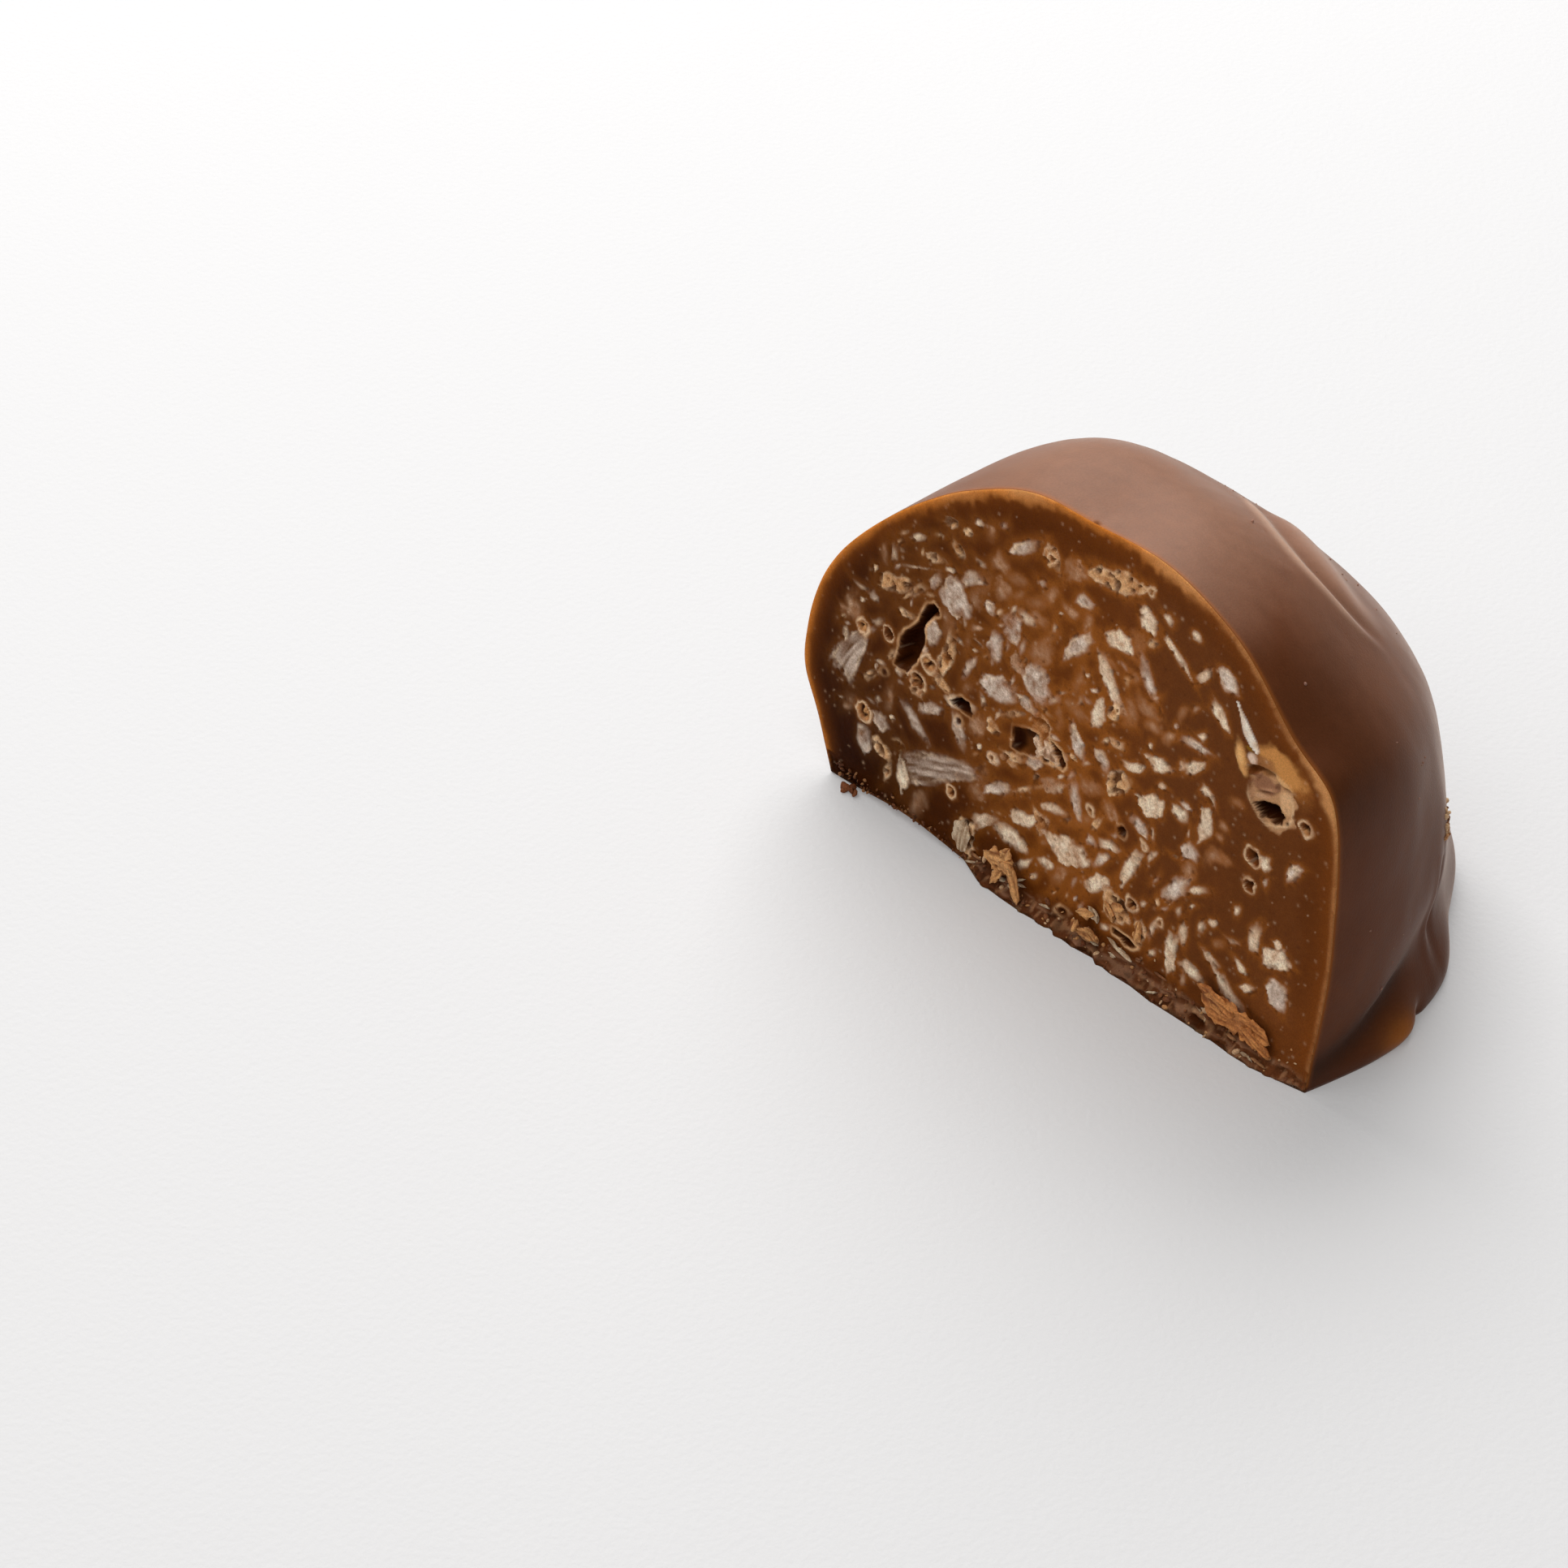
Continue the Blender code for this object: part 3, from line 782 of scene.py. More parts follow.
# The coconut pieces as they lie on the cut, from the crown down. They are white unless a kind is given.
FLAKES: tuple[Flake, ...] = tuple(Flake(*row) for row in (
    (2.3, 19.65, 3.2, 1.0, 15, T), (4.4, 18.7, 1.2, 0.8, -40), (5.6, 19.4, 0.6, 0.3, 0),
    (7.3, 19.4, 0.5, 0.4, 0), (6.2, 17.9, 1.6, 0.4, -35), (7.9, 17.7, 0.9, 0.4, 50),
    (9.3, 18.2, 1.2, 0.8, -45, G), (9.0, 16.2, 1.3, 0.55, -50), (-1.6, 18.9, 1.0, 1.1, 0, T),
    (-3.4, 18.5, 1.8, 0.5, 35, G), (-8.1, 17.5, 0.9, 0.5, 10, T), (-7.0, 17.6, 0.7, 0.4, 20, T),
    (-6.3, 18.4, 0.5, 0.35, 0), (-4.8, 17.0, 1.1, 0.9, 0, S), (-4.6, 15.8, 1.3, 0.9, 0, S),
    (-2.4, 16.2, 1.2, 0.35, 25, S), (-2.3, 15.4, 0.9, 0.7, 0, S), (-1.6, 14.8, 1.2, 0.3, 50, S),
    (0.2, 15.3, 2.1, 0.7, 50, G), (0.8, 16.5, 1.5, 0.5, 90, S), (-0.3, 16.8, 0.9, 0.5, 0, S),
    (0.5, 17.7, 0.9, 0.6, 20, G), (2.3, 14.4, 2.3, 0.75, -60), (1.6, 12.5, 1.6, 0.7, 75),
    (2.7, 11.6, 1.0, 0.5, 0, T), (4.5, 15.9, 1.7, 0.55, -65, G), (3.7, 15.5, 0.7, 0.5, 0, S),
    (4.7, 14.3, 1.5, 0.8, -20, S), (5.0, 13.6, 0.8, 0.4, 0, S), (5.4, 11.9, 1.3, 0.75, 0),
    (6.9, 12.6, 0.5, 0.3, 60), (8.4, 12.0, 0.8, 0.5, 0), (-6.8, 15.3, 1.5, 0.6, 40, G),
    (-6.4, 14.4, 0.8, 0.7, 0, S), (-5.4, 14.4, 0.7, 0.6, 0, G), (-4.0, 14.2, 1.6, 1.1, 70, G),
    (-5.1, 12.5, 1.4, 0.9, 80, G), (-3.6, 12.5, 0.9, 0.8, 0), (-9.0, 14.1, 1.5, 0.5, 60, G),
    (-7.6, 13.8, 1.9, 1.6, 100, G), (-11.9, 12.5, 2.4, 0.9, 25, T), (-10.3, 12.9, 1.5, 0.4, 45, T),
    (-10.4, 14.1, 1.6, 0.12, 20), (-2.2, 12.1, 1.9, 1.5, 90, G), (-4.6, 10.5, 2.5, 1.25, 15, G),
    (-9.2, 11.3, 1.3, 0.9, 60, G), (-8.3, 10.3, 2.9, 0.8, 68, T), (-6.7, 10.7, 1.5, 0.35, 60, G),
    (0.4, 10.3, 1.6, 0.65, -70, G), (2.0, 10.3, 1.1, 0.7, -50, G), (1.3, 8.5, 1.5, 0.6, 15, S),
    (2.6, 7.9, 1.0, 0.9, 0, S), (5.2, 9.6, 1.4, 1.0, 40), (6.9, 10.1, 0.9, 0.6, 0),
    (8.4, 10.3, 1.6, 0.8, 80), (7.6, 8.5, 1.0, 0.8, 0, G), (12.0, 10.4, 0.7, 0.7, 0),
    (13.7, 10.8, 1.0, 0.5, 55, G), (-1.1, 7.3, 1.5, 0.65, 20), (-0.9, 6.1, 1.4, 0.45, 15),
    (-4.0, 7.1, 1.0, 0.4, 0, T), (-5.0, 6.7, 0.9, 0.7, 0), (-1.9, 5.0, 1.1, 1.0, 0, T),
    (-7.3, 7.0, 1.7, 0.7, -65, G), (-9.3, 7.1, 1.7, 0.55, 25, G), (-10.2, 5.9, 1.8, 0.55, -40, G),
    (-10.2, 7.8, 0.9, 0.8, 0, T), (-14.6, 7.5, 3.3, 1.1, 60, F), (-13.3, 6.9, 1.3, 0.4, 40, T),
    (-15.1, 8.2, 0.7, 0.3, 90), (-12.6, 4.7, 1.0, 0.8, 0, G), (-13.7, 3.2, 1.5, 1.0, 90, G),
    (-8.6, 4.15, 5.8, 1.15, 27, F), (-5.6, 2.9, 2.3, 0.6, 38), (-3.0, 4.5, 1.6, 0.8, 20),
    (-3.7, 3.1, 1.9, 0.8, -5), (-1.4, 2.95, 1.0, 0.5, 10), (0.0, 4.3, 2.3, 1.3, 10),
    (-2.8, 2.1, 1.1, 0.35, 40), (1.5, 5.7, 0.6, 0.5, 0, G), (2.2, 5.1, 1.3, 0.4, 50, G),
    (4.0, 5.7, 2.4, 0.6, 62), (5.3, 7.0, 0.8, 0.3, 55), (6.8, 6.1, 2.2, 0.7, 52, G),
    (2.0, 3.7, 1.7, 0.65, 40), (7.4, 4.0, 1.1, 0.5, 90), (9.2, 3.7, 0.9, 0.4, -20),
    (11.0, 4.3, 0.9, 0.35, -35), (11.4, 3.4, 0.7, 0.4, 30), (13.2, 4.1, 1.6, 1.2, 90, G),
    (13.0, 5.9, 1.7, 0.9, 20), (11.7, 6.3, 1.5, 0.5, 75), (13.1, 6.7, 0.5, 0.4, 0),
    (10.5, 2.5, 2.1, 0.65, -35), (8.0, 2.4, 1.2, 0.65, 0), (9.2, 5.6, 0.5, 0.35, 30),
    (10.6, 7.1, 0.5, 0.3, 70), (9.5, 10.9, 0.4, 0.3, 0, S), (9.3, 10.2, 0.4, 0.3, 0, S),
    (9.7, 9.2, 0.5, 0.3, 20, S), (3.2, 3.0, 1.6, 1.5, 0, T), (4.8, 2.6, 1.2, 0.6, 80, T),
    (-6.7, 1.5, 1.9, 1.2, 80, T), (-12.9, 9.9, 0.8, 0.3, 30), (-13.2, 11.2, 0.7, 0.4, 10, G),
    (-10.8, 11.4, 1.2, 0.35, 12, T), (-11.8, 8.75, 1.3, 0.3, 45, T), (-8.5, 8.85, 1.2, 0.6, -20, T),
    (-1.9, 10.1, 1.3, 1.1, 0, T), (-3.9, 9.6, 1.9, 0.3, 28, T), (-5.05, 8.35, 0.85, 0.65, -30, T),
    (-3.6, 7.45, 1.6, 0.4, 12, T), (-11.3, 8.15, 0.8, 0.5, 60), (-2.9, 6.1, 2.4, 0.24, 35, T),
))

RINGS: tuple[Ring, ...] = (
    Ring(-13.9, 9.2, 0.75), Ring(-12.15, 9.7, 0.7, True), Ring(-9.4, 9.45, 0.8), Ring(-13.8, 4.6, 0.9),
    Ring(-7.7, 3.4, 0.5), Ring(1.4, 7.3, 0.4), Ring(4.2, 3.8, 0.7), Ring(14.3, 13.35, 0.75),
    Ring(4.5, 20.2, 0.4), Ring(4.8, 7.3, 0.35), Ring(6.0, 3.8, 0.4), Ring(-1.6, 18.9, 0.5),
    Ring(11.3, 10.3, 0.95, True), Ring(11.2, 8.75, 0.7, True), Ring(-10.1, 8.15, 0.95),
    Ring(-5.0, 6.7, 0.35),
)

PITS: tuple[Pit, ...] = (
    Pit(3.4, 7.25, 0.6, 0.7, 0, 0.5, 0.2), Pit(8.9, 0.3, 1.2, 0.4, -5, 0.4, 0.2),
    Pit(-0.2, 0.95, 0.7, 0.4, 20, 0.35, 0.4), Pit(-7.3, 7.5, 0.5, 0.4, 70, 0.4, 0.3),
    Pit(13.12, 12.95, 0.3, 0.2, 30, 0.2, 0.0), Pit(-8.6, 9.8, 0.5, 0.35, 40, 0.4, 0.3),
    Pit(-12.4, 7.5, 0.5, 0.35, 30, 0.35, 0.2),
)

TEARS: tuple[Tear, ...] = (
    Tear(((-9.75, 12.15), (-9.5, 12.6), (-9.1, 12.8), (-8.8, 12.7), (-8.75, 12.4), (-9.25, 12.0),
          (-9.6, 11.5), (-9.75, 11.2), (-9.65, 10.8), (-9.7, 10.3), (-9.9, 9.9), (-10.2, 9.3),
          (-10.5, 8.65), (-10.8, 8.25), (-11.7, 8.3), (-11.5, 9.0), (-11.4, 9.6), (-11.3, 10.0),
          (-11.0, 10.4), (-10.4, 11.0), (-10.1, 11.4), (-10.0, 11.8)), 0.9, 0.55),
    Tear(((11.12, 12.97), (11.6, 13.28), (12.4, 13.55), (12.6, 13.5), (12.7, 13.3), (12.95, 13.15),
          (12.8, 12.95), (12.82, 12.68), (12.4, 12.5), (11.7, 12.55), (11.3, 12.75)), 1.1, 0.0,
          tone(76, 34, 6)),
    Tear(((-7.9, 8.3), (-7.55, 8.1), (-7.3, 8.2), (-6.45, 8.12), (-6.45, 8.4), (-6.55, 8.75),
          (-7.15, 8.85), (-7.4, 8.7)), 0.9, 0.3, tone(56, 22, 6)),
    Tear(((-3.75, 9.1), (-2.6, 9.45), (-2.0, 9.55), (-1.9, 9.0), (-2.0, 8.4), (-2.5, 8.15),
          (-3.2, 7.95), (-3.75, 7.95)), 0.4, 0.25, tone(118, 66, 26)),
    Tear(((-1.4, 9.65), (-1.0, 9.5), (-0.7, 9.4), (-0.35, 9.0), (-0.3, 8.7), (-0.48, 8.45),
          (-0.72, 8.5), (-0.74, 8.95), (-1.1, 9.1), (-1.0, 9.3)), 0.7, 0.45),
    Tear(((-1.85, 8.5), (-1.3, 8.6), (-1.3, 8.42), (-1.65, 8.28)), 0.5, 0.3),
    Tear(((3.05, 1.9), (3.4, 1.95), (4.1, 1.9), (4.65, 1.72), (4.2, 1.42), (3.9, 1.42), (3.6, 1.6),
          (3.1, 1.65)), 0.6, 0.8),
)

# The big burst bubble, in patches of painted light and shade: a painted glow through the thin chocolate
# above it, a curl at its left with a painted highlight, creased sheets with painted light on their ridges
# and painted shade in their creases, and hollows darkened with painted shade.
BUBBLE_DABS: tuple[Dab, ...] = (
    Dab(13.6, 15.1, 1.8, 1.6, -30, tone(184, 114, 54), 0.55, softness=0.5),
    Dab(12.65, 15.5, 2.9, 1.6, -13, tone(214, 148, 82), 0.92, softness=0.22),
    Dab(12.2, 13.65, 2.6, 2.5, 0, tone(200, 150, 106), 0.95, -0.10),
    Dab(11.5, 15.1, 1.7, 0.9, 10, tone(164, 108, 64), 0.85),
    Dab(11.95, 14.9, 0.95, 0.3, 15, tone(116, 76, 40), 0.85, -0.10),
    Dab(12.85, 14.85, 1.3, 0.34, -15, tone(226, 176, 122), 0.9, 0.05),
    Dab(12.9, 14.58, 0.5, 0.2, 0, tone(124, 76, 42), 0.9, -0.10),
    Dab(11.75, 14.15, 1.6, 1.05, 15, tone(150, 102, 74), 0.9),
    Dab(12.4, 14.35, 0.35, 0.65, -15, tone(112, 70, 50), 0.8, -0.05, 0.08),
    Dab(11.9, 14.02, 1.2, 0.2, 22, tone(200, 148, 110), 0.85, 0.05, 0.07),
    Dab(11.75, 13.8, 1.2, 0.15, 20, tone(104, 64, 42), 0.8, -0.06, 0.06),
    Dab(11.5, 13.5, 1.1, 0.28, 20, tone(204, 158, 122), 0.85, 0.04, 0.08),
    Dab(11.3, 14.3, 0.6, 0.14, 60, tone(116, 74, 48), 0.8, -0.05, 0.06),
    Dab(12.95, 13.95, 0.75, 1.25, 5, tone(230, 182, 134), 0.92, 0.05),
    Dab(13.0, 13.6, 0.3, 0.12, -50, tone(160, 112, 76), 0.7, -0.04, 0.05),
    Dab(11.02, 13.45, 0.3, 0.8, -8, tone(190, 142, 104), 0.75, 0.03),
    Dab(10.32, 14.9, 1.75, 0.62, -72, tone(226, 166, 102), 0.95, 0.07),
    Dab(10.3, 14.95, 0.8, 0.3, -75, tone(250, 196, 128), 0.7, 0.03),
    Dab(11.1, 14.72, 1.05, 0.28, 22, tone(92, 46, 14), 0.92, -0.20, 0.07),
    Dab(10.95, 15.15, 0.55, 0.6, 0, tone(238, 208, 186), 0.92, 0.05),
    Dab(10.75, 15.52, 0.4, 0.2, 0, tone(150, 108, 30), 0.75, softness=0.06),
)


@dataclass(frozen=True)
class Burr:
    """A stretch of the cut's edge where thin chocolate was dragged over, painted as a wider and paler glow.
    """

    x: float
    z: float
    along: float
    up: float
    strength: float


BURRS: tuple[Burr, ...] = (
    Burr(-3.6, 21.3, 2.0, 0.9, 0.8), Burr(-7.5, 19.3, 2.2, 1.4, 0.35), Burr(6.0, 21.8, 2.0, 0.8, 1.1),
    Burr(15.2, 15.6, 1.5, 1.3, 1.7), Burr(16.0, 12.0, 0.7, 2.5, 0.2), Burr(10.6, 19.8, 1.2, 1.0, 0.25),
)


class Canvas:
    """The cut face as a fine grid, with a depth, a colour, a painted shade and a sheen at each point."""

    plain_roughness: float = 0.47
    noise_seed: int = 23

    def stretch(self, x: Array, z: Array, edge: Array) -> None:
        """Lay the plain filling.

        Args:
            x: Place along the cut at each grid point.
            z: Height at each grid point.
            edge: Distance to the outline at each grid point.
        """
        self.x, self.z, self.edge = x, z, edge
        self.rise = np.zeros_like(x)
        self.colour = np.zeros((*x.shape, 3))
        self.rough = np.full_like(x, self.plain_roughness)
        self.pale = np.zeros_like(x)
        # The painted shade, 1 where none is painted.
        self.shade = np.ones_like(x)
        self.noise = Noise(self.noise_seed)
        self.x0, self.z0 = x[0, 0], z[0, 0]
        self.step = x[0, 1] - x[0, 0]

    def window(self, x: float, z: float, reach: float) -> tuple[slice, slice]:
        """Return the part of the grid within reach of a place.

        Args:
            x: Place along the cut.
            z: Height.
            reach: How far the part goes from the place.

        Returns:
            The rows and the columns.
        """
        column, row = (x - self.x0) / self.step, (z - self.z0) / self.step
        span = reach / self.step + 1
        return (slice(max(0, int(row - span)), max(0, int(row + span) + 1)),
                slice(max(0, int(column - span)), max(0, int(column + span) + 1)))

    def blend(self, part: tuple, mask: Array, colour: Array | Colour) -> None:
        """Mix a colour into part of the grid."""
        mask = mask[..., None]
        self.colour[part] = self.colour[part] * (1 - mask) + np.asarray(colour) * mask

    def local(self, part: tuple, spot: Spot) -> tuple[Array, Array]:
        """Return places along and across a tilted spot, in millimetres.

        Args:
            part: The part of the grid to work on.
            spot: The spot.

        Returns:
            Places along it, and across it.
        """
        angle = math.radians(spot.tilt)
        dx, dz = self.x[part] - spot.x, self.z[part] - spot.z
        return (dx * math.cos(angle) + dz * math.sin(angle),
                -dx * math.sin(angle) + dz * math.cos(angle))


EVERYWHERE = (slice(None), slice(None))
MATRIX = tone(112, 57, 15)
RIGHT_GROUND = tone(112, 65, 33)
COATING_BAND = tone(101, 49, 9)
CRUST = tone(94, 56, 36)
CRUST_LAYER = tone(188, 144, 112)
CRUST_DEBRIS = tone(176, 128, 90)
HALO = tone(164, 94, 34)
UNDER_EDGE = tone(138, 72, 18)
RIM_GLOW = tone(212, 126, 50)
RIGHT_RIM = tone(210, 146, 92)
BURR_PAINTED_GLOW = tone(214, 150, 92)
EDGE_HIGHLIGHT = tone(255, 226, 190)
PORE = tone(76, 38, 14)
TAN_PORE = tone(78, 38, 14)
PAINTED_HOLE_SHADE = tone(50, 20, 5)
PIT_FLOOR = tone(88, 42, 12)
PIT_RIM = tone(236, 188, 138)
TEAR_RIM = tone(232, 184, 134)
RING_RIM = tone(240, 204, 164)
RING_WALL_PAINTED_SHADE = tone(150, 84, 38)
BOWL_RIM = tone(234, 192, 148)
SPIKE_SHADE, SPIKE_FLESH = tone(226, 190, 156), tone(255, 244, 228)
LOOSE_SHADE, LOOSE_FLESH = tone(140, 100, 72), tone(240, 208, 178)
PALE_SPECK, DARK_SPECK = tone(196, 160, 128), tone(60, 30, 14)

# Red, green and blue follow the painted shade and the painted light by these powers, so that a darker place
# is warmer.
SHADE_POWERS = np.array((1.0, 1.15, 1.6))
LIGHT_POWERS = np.array((1.0, 1.1, 1.3))


@dataclass(frozen=True)
class Look:
    """How one kind of coconut is coloured: its flesh, its shade, its lightness, its edge and its rise."""

    flesh: Colour
    shade: Colour
    light: float = 0.55
    softness: float = 0.10
    strength: float = 0.93
    rise: float = 0.035


LOOKS: dict[Kind, Look] = {
    Kind.WHITE: Look(flesh=tone(255, 236, 208), shade=tone(186, 130, 86), light=0.82, softness=0.10),
    Kind.GREY: Look(flesh=tone(246, 230, 214), shade=tone(144, 106, 78), light=0.64, softness=0.13),
    Kind.SOFT: Look(flesh=tone(232, 194, 160), shade=tone(152, 98, 56), softness=0.36, strength=0.7,
                    rise=0.01),
    Kind.TAN: Look(flesh=tone(250, 204, 152), shade=tone(166, 106, 56), light=0.6),
    Kind.FIBRE: Look(flesh=tone(238, 218, 200), shade=tone(112, 82, 60), light=0.56, softness=0.14,
                     strength=0.9),
}


@dataclass(frozen=True)
class RingLook:
    """How one kind of small bubble looks: its rim's width, its hole's edge, its foam and its depth."""

    rim_width: float
    hole_edge: tuple[float, float]
    foam: Colour
    depth: float


FOAMY = RingLook(rim_width=0.075, hole_edge=(0.25, 0.5), foam=tone(226, 166, 108), depth=0.16)
HOLLOW = RingLook(rim_width=0.055, hole_edge=(0.75, 1.0), foam=tone(128, 72, 32), depth=0.35)


@dataclass(frozen=True)
class BigBubble:
    """The large burst bubble: its bowl, and the spike of coconut that points into it."""

    x: float = 12.1
    z: float = 13.6
    half_width: float = 1.32
    half_height: float = 1.22
    rim_width: float = 0.06
    spike_x: float = 9.85
    spike_z: float = 17.5
    spike_lean: float = 0.64
    spike_length: float = 2.0
    spike_places: tuple[float, ...] = (0.0, 0.25, 0.5, 0.72, 0.9, 1.02)
    spike_half_widths: tuple[float, ...] = (0.05, 0.13, 0.28, 0.38, 0.32, 0.0)


# The ragged flake in the torn hollow in the middle, by its corners.
LOOSE_FLAKE = ((-2.4, 9.3), (-2.0, 9.38), (-1.85, 9.02), (-1.65, 9.05), (-1.68, 9.42), (-1.15, 9.38),
               (-1.08, 9.05), (-0.76, 8.98), (-0.76, 8.55), (-1.25, 8.62), (-1.8, 8.5), (-2.1, 8.33),
               (-2.32, 8.55), (-2.12, 8.75), (-2.42, 8.9))

# Places that the scattered coconut leaves clear, as x, z and half length.
KEPT_CLEAR = ((11.8, 14.3, 2.6), (11.0, 1.1, 2.4))


@dataclass
class CutFace(Canvas):
    """The filling, with the whole cut as one dense relief."""

    spacing: float = 0.083
    proud: float = 0.02
    seed: int = 17
    specks: int = 900
    speck_size: tuple[float, float] = (0.035, 0.085)
    pale_specks: float = 0.75
    tries: int = 1600
    larger_length: tuple[float, float] = (0.8, 1.9)
    smaller_length: tuple[float, float] = (0.25, 0.6)
    sparse_from_x: float = 8.5
    longest_where_sparse: float = 1.2
    band_edge: tuple[float, float] = (1.4, 2.3)
    crust_height: float = 1.1
    glow_width: float = 0.27
    glow_narrowing: float = 0.10
    glow_least_width: float = 0.05
    halo_width: float = 0.26
    halo_narrowing: float = 0.11
    grain_contrast: float = 1.35
    back_offset: float = 1.6
    back_depth: float = 0.9
    back_inset: float = 0.3
    back_steps: tuple[int, int] = (60, 40)

    def outline(self, spacing: float = 0.05) -> Array:
        """Return the cut's outline as a closed ring of points, anticlockwise from the base's middle.

        Args:
            spacing: The distance between them.

        Returns:
            The ring's points.
        """
        ends = DOME.skin(np.array([0.0, 180.0]), 900)
        right, left = ends[0][:, [0, 2]], ends[1][:, [0, 2]]
        ring = np.concatenate([right, left[::-1][1:-1]])
        ring = np.concatenate([ring, ring[:1]])
        lengths = np.concatenate([[0], np.cumsum(np.linalg.norm(np.diff(ring, axis=0), axis=1))])
        count = int(lengths[-1] / spacing)
        places = np.linspace(0, lengths[-1], count, endpoint=False)
        return np.stack([np.interp(places, lengths, ring[:, k]) for k in range(2)], 1)

    def lay_grid(self, ring: Array) -> tuple[Array, Array]:
        """Lay the grid over the outline.

        Args:
            ring: The outline.

        Returns:
            Whether each point is inside, and its nearest place on the outline.
        """
        margin = 2 * self.spacing
        xs = np.arange(ring[:, 0].min() - margin, ring[:, 0].max() + margin, self.spacing)
        zs = np.arange(ring[:, 1].min() - margin, ring[:, 1].max() + margin, self.spacing)
        x, z = np.meshgrid(xs, zs)
        tree = KDTree(len(ring))
        for number, point in enumerate(ring):
            tree.insert((point[0], point[1], 0.0), number)
        tree.balance()
        inside = np.zeros(x.shape, bool)
        for row, height in enumerate(zs):
            crossings = self.crossings(ring, height)
            for left, right in zip(crossings[::2], crossings[1::2]):
                inside[row] |= (xs > left) & (xs < right)
        nearest = np.zeros((*x.shape, 2))
        edge = np.full(x.shape, 9.0)
        for row, column in np.argwhere(inside):
            found, _, away = tree.find((x[row, column], z[row, column], 0.0))
            nearest[row, column] = found.x, found.y
            edge[row, column] = away
        inside &= edge > 0.4 * self.spacing
        self.stretch(x, z, edge)
        return inside, nearest

    def crossings(self, ring: Array, height: float) -> Array:
        """Return where the outline crosses a level, from left to right.

        Args:
            ring: The outline.
            height: The level.

        Returns:
            The crossings.
        """
        following = np.roll(ring, -1, axis=0)
        crosses = (ring[:, 1] > height) != (following[:, 1] > height)
        start, end = ring[crosses], following[crosses]
        share = (height - start[:, 1]) / (end[:, 1] - start[:, 1])
        return np.sort(start[:, 0] + share * (end[:, 0] - start[:, 0]))

    def lay_chocolate(self) -> None:
        """Paint the chocolate that holds the coconut, and the plain coating round it, with painted shade
        towards the left and painted light low at the right.
        """
        x, z, edge, noise = self.x, self.z, self.edge, self.noise
        self.colour[:] = MATRIX
        mottle = noise.layered(x, z, 1.6) * 0.06 + noise.at(x, z, 0.22) * 0.07
        band = 1 - ramp(*self.band_edge, edge + 0.35 * noise.at(x, z, 1.2))
        rightward = ramp(2, 8, x)
        self.blend(EVERYWHERE, 0.55 * ramp(0, 7, x), RIGHT_GROUND)
        self.blend(EVERYWHERE, band * (0.75 - 0.35 * rightward), COATING_BAND)
        # Painted shade: much darker towards the left, darker low at the left, and a little darker at the
        # right.
        lower_left_painted_shade = 0.24 * ramp(10, 0, z) * ramp(0, -12, x)
        self.shade = 1 - 0.06 * rightward - 0.60 * ramp(5, -15, x) - lower_left_painted_shade
        # Painted light, low at the right.
        lower_right_painted_light = 1 + 0.38 * ramp(9, 14, x) * ramp(7, 2.5, z)
        self.colour *= (1 + mottle)[..., None] * self.shade[..., None] ** SHADE_POWERS
        self.colour *= lower_right_painted_light[..., None] ** LIGHT_POWERS
        self.lay_crust()
        self.rise += 0.018 * noise.layered(x, z, 0.9) + 0.006 * noise.at(x, z, 0.19)

    def lay_crust(self) -> None:
        """Paint and raise the crumbled, layered chocolate along the base."""
        x, z, noise = self.x, self.z, self.noise
        crust = 1 - ramp(0.45, self.crust_height, z + 0.25 * noise.at(x, z, 0.7))
        away_from_left = ramp(-9, -5, x)
        self.blend(EVERYWHERE, crust * 0.6 * away_from_left, CRUST)
        streaks = noise.at(x * 0.35, z * 3.2, 0.4) * crust
        layers = ramp(0.25, 0.75, noise.at(x * 0.4 + 5, z * 3.4, 0.45)) * crust * ramp(-8, -6, x)
        self.blend(EVERYWHERE, layers * 0.35, CRUST_LAYER)
        self.rise += 0.05 * layers
        lumps = 0.04 * noise.at(x + 9, z, 0.5) + 0.08 * noise.at(x, z + 9, 0.2)
        self.rise += 0.05 * streaks + crust * lumps
        debris = ramp(0.35, 0.6, noise.at(x - 7, z + 3, 0.22)) * crust
        self.blend(EVERYWHERE, debris * 0.5 * away_from_left, CRUST_DEBRIS)
        cracks = 0.35 * crust * ramp(0.2, 0.6, noise.at(x + 4, z, 0.26))
        self.colour *= (1 + 0.22 * streaks - cracks)[..., None]
        self.rough += 0.08 * crust

    def lay_edge(self) -> None:
        """Paint the thin glowing edge, where light comes through the coating, and its burr."""
        x, z, edge, noise = self.x, self.z, self.edge, self.noise
        uneven = 1 + 0.45 * noise.layered(x, z, 1.4)
        narrower_at_base = np.where(z > 1.2, 1.0, 0.35)
        width = (self.glow_width - self.glow_narrowing * ramp(6, 14, x)) * uneven * narrower_at_base
        ledge = np.zeros_like(x)
        for patch in BURRS:
            ledge += patch.strength * bump(np.hypot((x - patch.x) / patch.along, (z - patch.z) / patch.up))
        width = width * (1 + ledge * (1 + 0.5 * noise.at(x, z, 0.5)))
        rough_shoulder = 1 + 0.4 * noise.at(x, z, 0.28) * ramp(14, 17, z)
        width = np.maximum(width * rough_shoulder, self.glow_least_width)
        glow = bump(np.maximum(edge - 0.03, 0) / width)
        strength = (0.95 - 0.35 * ramp(4, 12, x)) * (0.85 + 0.25 * noise.at(x, z, 2.3)) + 0.2 * ledge
        self.blend(EVERYWHERE, bump(edge / 0.8) * 0.55 * ramp(0.5, 2, z), UNDER_EDGE)
        rim = mixed(RIM_GLOW, RIGHT_RIM, ramp(4, 12, x))
        self.blend(EVERYWHERE, np.clip(glow * strength, 0, 1) * ramp(0.0, 1.0, z), rim)
